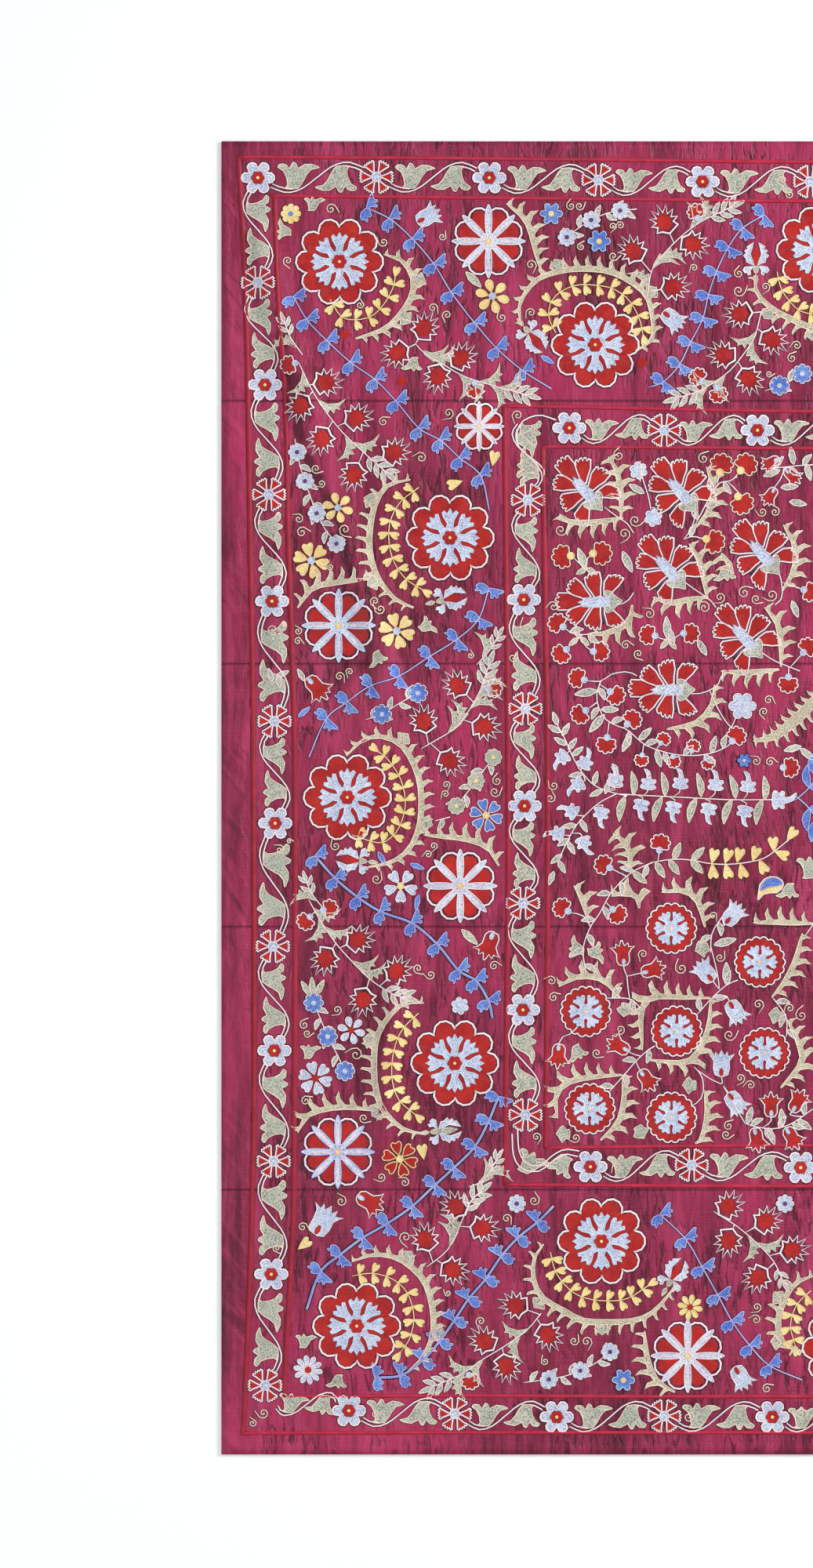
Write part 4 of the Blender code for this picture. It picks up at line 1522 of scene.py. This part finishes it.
# Curls: photo_x, photo_y and radius, in the photograph's pixels.
CURLS = (
    (422, 267, 8), (367, 333, 7), (489, 309, 7), (459, 389, 6), (552, 393, 7), (570, 402, 7), (640, 405, 7),
    (564, 302, 6), (677, 338, 8), (677, 399, 7), (728, 263, 6.6), (739, 263, 6.6), (781, 289, 6),
    (791, 288, 6), (741, 315, 6), (782, 327, 7), (572, 527, 8), (537, 584, 8), (489, 538, 7), (403, 598, 7),
    (410, 617, 6), (381, 662, 7), (385, 679, 8), (440, 676, 9), (421, 723, 5), (380, 805, 6), (380, 818, 6),
    (478, 767, 7), (485, 777, 8), (600, 836, 5), (433, 863, 7), (446, 857, 6), (428, 1079, 7),
    (480, 1121, 8), (569, 1001, 6), (568, 1013, 6), (634, 996, 7), (631, 1010, 8), (553, 1079, 6),
    (546, 1090, 6), (388, 1307, 7), (392, 1318, 6), (430, 1288, 7), (454, 1345, 10), (390, 1404, 7),
    (464, 1426, 7), (486, 1501, 7), (516, 1508, 7), (630, 1232, 7), (533, 1235, 7), (549, 1243, 7),
    (435, 1532, 8), (386, 1565, 7), (517, 1578, 9), (571, 1649, 5), (681, 1531, 8), (646, 1554, 7),
    (613, 1685, 7), (695, 1736, 6), (732, 1710, 7), (748, 1711, 8), (885, 342, 6), (942, 349, 7),
    (942, 371, 9), (976, 366, 7), (1016, 441, 7), (1010, 457, 7), (981, 477, 5), (965, 1667, 7),
    (964, 1683, 7), (978, 1771, 7), (348, 803, 8), (362, 796, 4), (357, 1084, 7), (369, 1073, 4),
    (353, 1592, 6), (336, 1802, 8), (322, 1815, 6), (479, 1804, 6), (998, 230, 7), (1007, 248, 6),
    (878, 1807, 8), (1021, 1803, 9), (660, 530, 8), (672, 801, 10), (654, 839, 7), (684, 1450, 7),
    (787, 1489, 7), (789, 581, 8), (715, 676, 9), (796, 681, 9), (706, 774, 8), (897, 585, 8),
    (810, 664, 9), (918, 762, 8), (898, 775, 9), (949, 756, 9), (964, 764, 7), (984, 759, 9), (828, 783, 8),
    (798, 823, 7), (814, 834, 7), (972, 653, 7), (988, 653, 7), (980, 893, 7), (974, 908, 7),
    (706, 1002, 7), (702, 1018, 7), (909, 1168, 6), (820, 1217, 7), (869, 1235, 9), (918, 1221, 7),
    (967, 1281, 8), (1007, 1286, 7), (1022, 1295, 9), (930, 1320, 9), (944, 1375, 7), (957, 1384, 7),
    (929, 1436, 7), (926, 1447, 7), (791, 1313, 7), (703, 1251, 7), (706, 1272, 7), (761, 1343, 7),
    (734, 1451, 7), (964, 971, 7), (982, 972, 7),
)
for k, (photo_x, photo_y, radius) in enumerate(CURLS):
    work.ways = workings(photo_x, photo_y)
    spiral(Spot(photo_x, photo_y, radius * PIXEL * 1000, 97 * k % 360, 1 if k % 2 else -1))

# Small faint dots of red.
place(blot, [(440, 427), (513, 486), (819, 463)], 9)

# -- the middle of the field, which the photograph doesn't show

MIDDLE = (PHOTO_MIDDLE, PHOTO_CLOTH_MIDDLE)
WREATH = ((1014, 1021), (1037, 998), (1066, 944), (1102, 872), (1156, 802), (1240, 748), (1347.5, 728))
for below in (1, -1):
    wreath = [(x, MIDDLE[1] + below * (y - MIDDLE[1])) for x, y in WREATH]
    work.ways = [AS_DRAWN, OTHER_HALF]
    stem(wreath, "lavender", half_width=2.4)
    run, ways, gone = along_run(wreath)
    for there in np.arange(24, gone[-1] - 6, 19):
        i = int(np.searchsorted(gone, there))
        for side in (-1, 1):
            leaf(Spot(*run[i], 34, ways[i] + side * 46), bend=0.12 * side, filling="blue", edge="lavender")
work.ways = [AS_DRAWN]


def round_middle(radius, turn):
    """A place of the photograph on a circle about the cloth's middle. turn is in degrees from the right."""
    angle = math.radians(turn)
    return MIDDLE[0] + radius * math.cos(angle), MIDDLE[1] + radius * math.sin(angle)


for radius in (278, 150):
    circle = drawn([round_middle(radius, turn) for turn in range(0, 360, 15)])
    line(through(circle, closed=True), "white", closed=True)
# motif, how many, radius of their circle in the photograph's pixels, first turn, size
for motif, count, radius, first, size in (
    (rosette, 8, 214, 22.5, 62), (carnation, 8, 178, 45, 96),
    (heart, 48, 159, 0, 15), (palmette, 16, 104, 0, 30),
):
    for k in range(count):
        turn = first + 360 * k / count
        motif(Spot(*round_middle(radius, turn), size, 0 if motif is rosette else turn))
rosette(Spot(*MIDDLE, 112), petals=12)

# ---- finishes


class Wire:
    """An output of a node. Sums with it add Math nodes."""

    def __init__(self, finish, socket):
        self.finish, self.socket = finish, socket

    def sum(self, operation, *values):
        return self.finish.node("Math", {"operation": operation}, dict(enumerate(values)))

    def __abs__(self):
        return self.sum("ABSOLUTE", self)


for sign, operation in (("add", "ADD"), ("sub", "SUBTRACT"), ("mul", "MULTIPLY"), ("truediv", "DIVIDE")):
    setattr(Wire, f"__{sign}__", lambda one, other, kind=operation: one.sum(kind, one, other))
    setattr(Wire, f"__r{sign}__", lambda one, other, kind=operation: one.sum(kind, other, one))


class Finish:
    """A material, with its nodes."""

    def __init__(self, name):
        self.material = bpy.data.materials.new(name)
        self.material.use_nodes = True
        self.tree = self.material.node_tree
        self.shader = self.tree.nodes["Principled BSDF"]
        self.cloth = self.node("TexCoord", out="Object")

    def plug(self, socket, value):
        if isinstance(value, Wire):
            self.tree.links.new(value.socket, socket)
        else:
            socket.default_value = value

    def node(self, kind, settings=(), sockets=(), out=0):
        node = self.tree.nodes.new("ShaderNode" + kind)
        for name, value in dict(settings).items():
            setattr(node, name, value)
        for name, value in dict(sockets).items():
            self.plug(node.inputs[name], value)
        return Wire(self, node.outputs[out])

    def axis(self, vector, name):
        return self.node("SeparateXYZ", (), {0: vector}, out=name)

    def noise(self, scale, detail=2.0, stretch=(1, 1, 1), roughness=0.5, wander=0.0):
        """Noise on the cloth, from 0 to 1, with about scale lumps to a metre."""
        stretched = self.node("VectorMath", {"operation": "MULTIPLY"}, {0: self.cloth, 1: stretch})
        return self.node("TexNoise", (), {
            "Vector": stretched, "Scale": scale, "Detail": detail, "Roughness": roughness,
            "Distortion": wander,
        })

    def between(self, value, low, high):
        """0 below low, 1 above high, and a soft step between them."""
        limits = {"Value": value, "From Min": low, "From Max": high}
        return self.node("MapRange", {"interpolation_type": "SMOOTHSTEP"}, limits)

    def fold(self, value, half):
        """Up from 0 to 1 and down again, over twice half of the value."""
        return value.sum("PINGPONG", value, half) / half

    def mix(self, share, first, second):
        return self.node("Mix", {"data_type": "RGBA"}, {0: share, 6: first, 7: second}, out=2)

    def bump(self, height, distance, strength=1.0, over=None):
        sockets = {"Height": height, "Distance": distance, "Strength": strength}
        if over is not None:
            sockets["Normal"] = over
        return self.node("Bump", (), sockets)

    def set(self, **sockets):
        for name, value in sockets.items():
            self.plug(self.shader.inputs[name.replace("_", " ")], value)


def paint(red, green, blue):
    """The linear colour of a screen colour from 0 to 255."""
    return tuple(
        (c / 255 / 12.92) if c / 255 <= 0.04045 else ((c / 255 + 0.055) / 1.055) ** 2.4
        for c in (red, green, blue)
    ) + (1.0,)


SILK_DEEP = paint(108, 17, 46)
SILK = paint(172, 41, 85)
# SILK_LIGHT is painted highlight on the long folds and the margin's slanting wrinkles, and the lighter tone
# of the upright streaks and slubs.
SILK_LIGHT = paint(192, 66, 108)
# SEAM_SHADE is painted shade in the short creases, long folds and wrinkles, and the dark line along the
# seams.
SEAM_SHADE = paint(70, 9, 30)
HALO = paint(30, 3, 24)  # the shadow beside a line of chain stitch
SHADE = paint(96, 22, 46)  # painted shade: the silk and the stitch holes between rows of thread in shadow, the gaps between a line's links, and a filling's sunk rim

WRINKLE_HALF_WIDTH = (0.002, 0.013)  # where a wrinkle's painted shade starts to fade and where it has faded out
WRINKLE_WAVE = 0.026  # how far its line wanders
WRINKLE_END = 0.02  # how far from its ends it fades
# The painted shade of the main wrinkles, as dark lines on the photograph: from_x, from_y, to_x, to_y
WRINKLES = (
    (352, 392, 366, 452), (366, 452, 374, 512), (374, 512, 385, 572), (385, 572, 412, 622),
    (412, 622, 430, 672), (430, 672, 452, 738), (381, 474, 398, 538),
)


def crimson_silk():
    finish = Finish("crimson_silk")
    faded = finish.between(finish.noise(2.6, 4), 0.30, 0.72)
    upright = finish.between(finish.noise(1, 3, stretch=(120, 22, 1), wander=0.8), 0.30, 0.75)
    slubs = finish.between(finish.noise(1, 2, stretch=(14, 420, 1)), 0.40, 0.72)
    grain = finish.noise(900, 2)
    fold_light_and_shade = finish.noise(1, 3, stretch=(30, 3.4, 1), wander=0.5)
    colour = finish.mix(faded, SILK_DEEP, SILK)
    colour = finish.mix(upright * 0.42 + slubs * 0.12, colour, SILK_LIGHT)
    colour = finish.mix((grain - 0.5) * 0.5 + 0.12, colour, SILK_DEEP)
    # Painted highlight and painted shade of the long upright folds.
    colour = finish.mix(finish.between(fold_light_and_shade, 0.52, 0.72) * 0.55, colour, SILK_LIGHT)
    colour = finish.mix(finish.between(1 - fold_light_and_shade, 0.52, 0.72) * 0.60, colour, SEAM_SHADE)
    pucker = finish.noise(1, 3, stretch=(120, 26, 1), wander=1.0)
    inward = finish.between(finish.axis(finish.cloth, "X"), LEFT_EDGE + 0.03, LEFT_EDGE + 0.09)
    crease = finish.between(pucker, 0.47, 0.68) * finish.between(finish.noise(9, 2), 0.32, 0.60)
    crease = crease * (0.25 + 0.75 * inward)
    # Painted shade in the short creases.
    colour = finish.mix(crease * 0.86, colour, SEAM_SHADE)
    x, y = finish.axis(finish.cloth, "X"), finish.axis(finish.cloth, "Y")
    slant = finish.node("CombineXYZ", (), {0: (x + y * 0.8) * 70, 1: y * 12})
    slanting = finish.node("TexNoise", (), {"Vector": slant, "Scale": 1.0, "Detail": 3.0, "Distortion": 0.8})
    margin = 1 - finish.between(x, LEFT_EDGE + 0.034, LEFT_EDGE + 0.050)
    margin = margin * finish.between(finish.noise(7, 2), 0.38, 0.62)
    # Painted shade and painted highlight of slanting wrinkles in the left margin.
    colour = finish.mix(finish.between(slanting, 0.50, 0.72) * margin * 0.50, colour, SEAM_SHADE)
    colour = finish.mix(finish.between(1 - slanting, 0.54, 0.74) * margin * 0.30, colour, SILK_LIGHT)
    wavy = (finish.noise(26, 2) - 0.5) * WRINKLE_WAVE
    wrinkle = 0
    for from_x, from_y, to_x, to_y in WRINKLES:
        (start_x, start_y), (end_x, end_y) = on_cloth(drawn([(from_x, from_y), (to_x, to_y)])).tolist()
        run = math.dist((start_x, start_y), (end_x, end_y))
        way_x, way_y = (end_x - start_x) / run, (end_y - start_y) / run
        along = (x - start_x) * way_x + (y - start_y) * way_y
        across = (x - start_x) * way_y - (y - start_y) * way_x + wavy
        begun = finish.between(along, -WRINKLE_END / 2, WRINKLE_END)
        ended = finish.between(along, run - WRINKLE_END, run + WRINKLE_END / 2)
        wrinkle = (1 - finish.between(abs(across), *WRINKLE_HALF_WIDTH)) * (begun * (1 - ended)) + wrinkle
    # Painted shade along the main wrinkles.
    colour = finish.mix(finish.between(wrinkle, 0.0, 0.9) * 0.80, colour, SEAM_SHADE)
    seam = 0
    for at in SEAM_LINES:
        seam = (1 - finish.between(abs(y - at), 0.0008, 0.0035)) + seam
    colour = finish.mix(seam * 0.50, colour, SEAM_SHADE)
    weave = finish.bump(grain, 0.0003, 0.5)
    lively = finish.bump(upright * 0.6 + slubs * 0.4 - crease * 3.0, 0.0012, 0.8, over=weave)
    finish.set(Base_Color=colour, Roughness=0.38 + finish.noise(60, 3) * 0.2, Normal=lively)
    finish.set(Sheen_Weight=0.08, Sheen_Roughness=0.35, Sheen_Tint=paint(255, 170, 195))
    finish.set(Specular_IOR_Level=0.28)
    return finish.material


LINK = 1.3  # half a chain stitch's length, in millimetres
ROW = 1.05  # half the distance between a filling's rows


def thread_finish(name, tone, deep, light, speckle, worked):
    """Silk thread in chain stitch. worked is "line" or "filling"; speckle is how much the painted shade of
    the stitch holes shows.
    """
    finish = Finish(name)
    stitch = finish.node("TexCoord", out="UV")
    along, across = finish.axis(stitch, "X"), finish.axis(stitch, "Y")
    worn = finish.between(finish.noise(34, 4), 0.28, 0.75)
    fine = finish.noise(520, 3, roughness=0.7)
    colour = finish.mix(worn, deep, light)
    colour = finish.mix(0.5, colour, tone)
    banded = name.startswith(("braid", "cord"))  # the soft red bands have no shadow beside them
    if worked == "line":
        link = finish.fold(along + across * across * 0.7, LINK)
        gap = finish.between(link, 0.80, 1.0)
        rim = finish.between(abs(across), *((0.7, 1.0) if banded else (0.36, 0.46)))
        # Painted shade in the gaps between the chain's links, and painted shadow beside the line.
        colour = finish.mix(gap * 0.35, colour, SHADE)
        colour = finish.mix(rim * 0.7 if banded else rim, colour, SILK_DEEP if banded else HALO)
        height = (1 - gap) * 0.7 + (1 - rim) * 0.5
    else:
        row = finish.fold(along + ROW, ROW)
        gap = finish.between(1 - row, 0.70, 1.0)
        holes = finish.between(fine, 0.48, 0.62)
        hole_shade = tuple(0.26 * tint for tint in deep[:3]) + (1.0,)
        # Painted shade in the grooves between rows and in the stitch holes.
        colour = finish.mix(gap * (0.25 + 0.5 * speckle) * (0.5 + fine), colour, SHADE)
        colour = finish.mix(holes * speckle, colour, hole_shade)
        # Painted shade on the filling's rim, where it goes down into the silk.
        colour = finish.mix(finish.between(across, 0.15, 0.9) * 0.9, colour, SHADE)
        height = (1 - gap) * 0.8 + fine * 0.5
    finish.set(Base_Color=colour, Roughness=0.42 + worn * 0.16)
    finish.set(Normal=finish.bump(height, 0.0005, 0.6), Sheen_Weight=0.05, Specular_IOR_Level=0.3)
    return finish.material


# thread: slot, tone, deep, light, speckle
THREADS = {
    "white": ("white_thread", (252, 228, 230), (238, 200, 208), (255, 242, 240), 0.30),
    "blush": ("white_thread", (244, 216, 196), (228, 190, 172), (252, 230, 212), 0.30),
    "red": ("red_thread", (188, 26, 20), (144, 12, 16), (212, 42, 28), 0.38),
    "braid": ("red_thread", (190, 30, 62), (160, 24, 56), (214, 46, 80), 0.20),
    "cord": ("red_thread", (158, 24, 50), (134, 16, 42), (178, 34, 60), 0.20),
    "pale_blue": ("pale_blue_thread", (212, 222, 244), (184, 198, 232), (234, 240, 252), 0.72),
    "sage": ("sage_thread", (198, 200, 184), (172, 180, 162), (222, 220, 200), 0.90),
    "sand": ("sage_thread", (214, 204, 176), (186, 178, 150), (236, 226, 198), 0.75),
    "yellow": ("yellow_thread", (248, 220, 150), (232, 192, 118), (255, 236, 176), 0.30),
    "blue": ("blue_thread", (100, 138, 220), (64, 98, 196), (146, 184, 238), 0.75),
    "lavender": ("blue_thread", (188, 178, 232), (158, 146, 214), (212, 204, 242), 0.30),
    "eye": ("blue_thread", (96, 60, 92), (80, 42, 74), (116, 80, 110), 0.20),
}

# ---- the cloth


def places_between(low, high, step):
    count = max(1, round((high - low) / step))
    return [low + (high - low) * k / count for k in range(count)]


def panel_rows(name):
    low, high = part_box(name)[0].y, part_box(name)[1].y
    # Near an edge of the cloth the rows follow the hem, and near a seam its dip.
    by_hem, by_seam = [0, HEM_STEP, HEM_WIDTH], [0, 0.0015, SEAM_REACH]
    first = by_hem if name == PANELS[0] else by_seam
    last = (by_hem if name == PANELS[-1] else by_seam)[::-1]
    start, end = low, high
    if name != PANELS[0]:
        start = (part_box(PANELS[PANELS.index(name) - 1])[1].y + low) / 2 + SEAM_GAP / 2
    if name != PANELS[-1]:
        end = (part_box(PANELS[PANELS.index(name) + 1])[0].y + high) / 2 - SEAM_GAP / 2
    inner = places_between(start + first[-1], end - last[0], ROW_STEP)
    return np.array([start + k for k in first[:-1]] + inner + [end - k for k in last])


COLUMNS = np.array(
    [LEFT_EDGE, LEFT_EDGE + HEM_STEP]
    + places_between(LEFT_EDGE + HEM_WIDTH, RIGHT_EDGE - HEM_WIDTH, COLUMN_STEP)
    + [RIGHT_EDGE - HEM_WIDTH, RIGHT_EDGE - HEM_STEP, RIGHT_EDGE]
)
ROWS = {name: panel_rows(name) for name in PANELS}
ALL_ROWS = np.concatenate([ROWS[name] for name in PANELS])
HEIGHTS = cloth_top(*np.meshgrid(COLUMNS, ALL_ROWS))


def sewn_height(x, y):
    """Height of the panels' own faces, between the points of their grids."""
    column = np.clip(np.searchsorted(COLUMNS, x) - 1, 0, len(COLUMNS) - 2)
    row = np.clip(np.searchsorted(ALL_ROWS, y) - 1, 0, len(ALL_ROWS) - 2)
    right = (x - COLUMNS[column]) / (COLUMNS[column + 1] - COLUMNS[column])
    up = (y - ALL_ROWS[row]) / (ALL_ROWS[row + 1] - ALL_ROWS[row])
    return between_corners(HEIGHTS, row, column, up, right)


def new_piece(name, points, faces, material):
    mesh = bpy.data.meshes.new(name)
    mesh.from_pydata(points.tolist(), [], faces.tolist())
    mesh.materials.append(material)
    mesh.shade_smooth()
    piece = bpy.data.objects.new(name, mesh)
    bpy.context.scene.collection.objects.link(piece)
    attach(piece, "root")
    return piece


def cloth_panel(name, material):
    """One loom width, as a thin closed sheet on its folds."""
    rows = ROWS[name]
    wide, deep = len(COLUMNS), len(rows)
    x, y = np.meshgrid(COLUMNS, rows)
    top = cloth_top(x, y)
    under = np.maximum(top - SHEET, 0)
    points = np.vstack([np.column_stack([x.ravel(), y.ravel(), z.ravel()]) for z in (top, under)])
    corner = (np.arange(deep - 1)[:, None] * wide + np.arange(wide - 1)).ravel()
    upper = np.column_stack([corner, corner + 1, corner + wide + 1, corner + wide])
    below = upper[:, ::-1] + wide * deep
    front, back = np.arange(wide), (deep - 1) * wide + np.arange(wide)
    left, right = np.arange(deep) * wide, np.arange(deep) * wide + wide - 1
    around = np.concatenate([front, right[1:], back[::-1][1:], left[::-1][1:-1]])
    onward = np.roll(around, -1)
    rim = np.column_stack([around, around + wide * deep, onward + wide * deep, onward])
    panel = new_piece("cloth_" + name, points, np.vstack([upper, below, rim]), material)
    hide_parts(name)
    return panel


def embroidery():
    pieces = []
    for (thread, worked), parts in sorted(work.stitched.items()):
        slot, tone, deep, light, speckle = THREADS[thread]
        starts = np.cumsum([0] + [len(part[0]) for part in parts[:-1]])
        drawn_points = on_cloth(np.vstack([part[0] for part in parts]))
        rises = np.concatenate([part[1] for part in parts]) / 1000
        faces = np.vstack([part[2] + start for part, start in zip(parts, starts)])
        stitch = np.vstack([part[3] for part in parts])
        height = sewn_height(drawn_points[:, 0], drawn_points[:, 1]) + rises
        name = f"{thread}_{worked}"
        colours = (paint(*colour) for colour in (tone, deep, light))
        material = thread_finish(f"{name}_thread", *colours, speckle, worked)
        piece = new_piece(name, np.column_stack([drawn_points, height]), faces, material)
        layer = piece.data.uv_layers.new(name="stitch")
        layer.data.foreach_set("uv", stitch[faces.ravel()].astype(np.float32).ravel())
        pieces.append(piece)
    return pieces


silk = crimson_silk()
panels = [cloth_panel(name, silk) for name in PANELS]
threads = embroidery()

# ---- floor, light and camera

FLOOR_SIZE = 12.0
FLOOR_DROP = 0.0005  # so that it doesn't meet the cloth's underside
CAMERA_LENS = 100.0
SENSOR = 36.0


def floor():
    bpy.ops.object.select_all(action="DESELECT")
    bpy.ops.mesh.primitive_plane_add(size=FLOOR_SIZE, location=(0, 0, -FLOOR_DROP))
    plane = bpy.context.object
    plane.name = "floor"
    finish = Finish("pale_floor")
    finish.set(Base_Color=paint(250, 250, 250), Roughness=0.95)
    plane.data.materials.append(finish.material)
    return plane


def softbox(name, place, size, power, colour):
    data = bpy.data.lights.new(name, "AREA")
    data.shape, data.size, data.energy, data.color = "SQUARE", size, power, colour
    light = bpy.data.objects.new(name, data)
    light.location = place
    light.rotation_euler = (-Vector(place)).to_track_quat("-Z", "Y").to_euler()
    bpy.context.scene.collection.objects.link(light)


ground = floor()
softbox("right_light", place=(4.6, 2.2, 2.2), size=1.2, power=350, colour=(1.0, 0.98, 0.96))
softbox("left_fill", place=(-3.4, -1.2, 3.6), size=3.0, power=46, colour=(0.97, 0.98, 1.0))
world = bpy.data.worlds.new("studio")
world.use_nodes = True
sky = world.node_tree.nodes["Background"].inputs
sky["Color"].default_value, sky["Strength"].default_value = (0.9, 0.92, 0.95, 1), 0.71
bpy.context.scene.world = world
bpy.context.scene.view_settings.view_transform = "Standard"

camera_data = bpy.data.cameras.new("camera")
camera_data.lens, camera_data.sensor_width = CAMERA_LENS, SENSOR
camera = bpy.data.objects.new("camera", camera_data)
seen = drawn([(PHOTO_SIZE[0] / 2, PHOTO_SIZE[1] / 2)]) / 1000
camera.location = (
    LEFT_EDGE + seen[0, 0], UPPER_EDGE - seen[0, 1], PHOTO_SIZE[1] * PIXEL * CAMERA_LENS / SENSOR
)
bpy.context.scene.collection.objects.link(camera)
bpy.context.scene.camera = camera
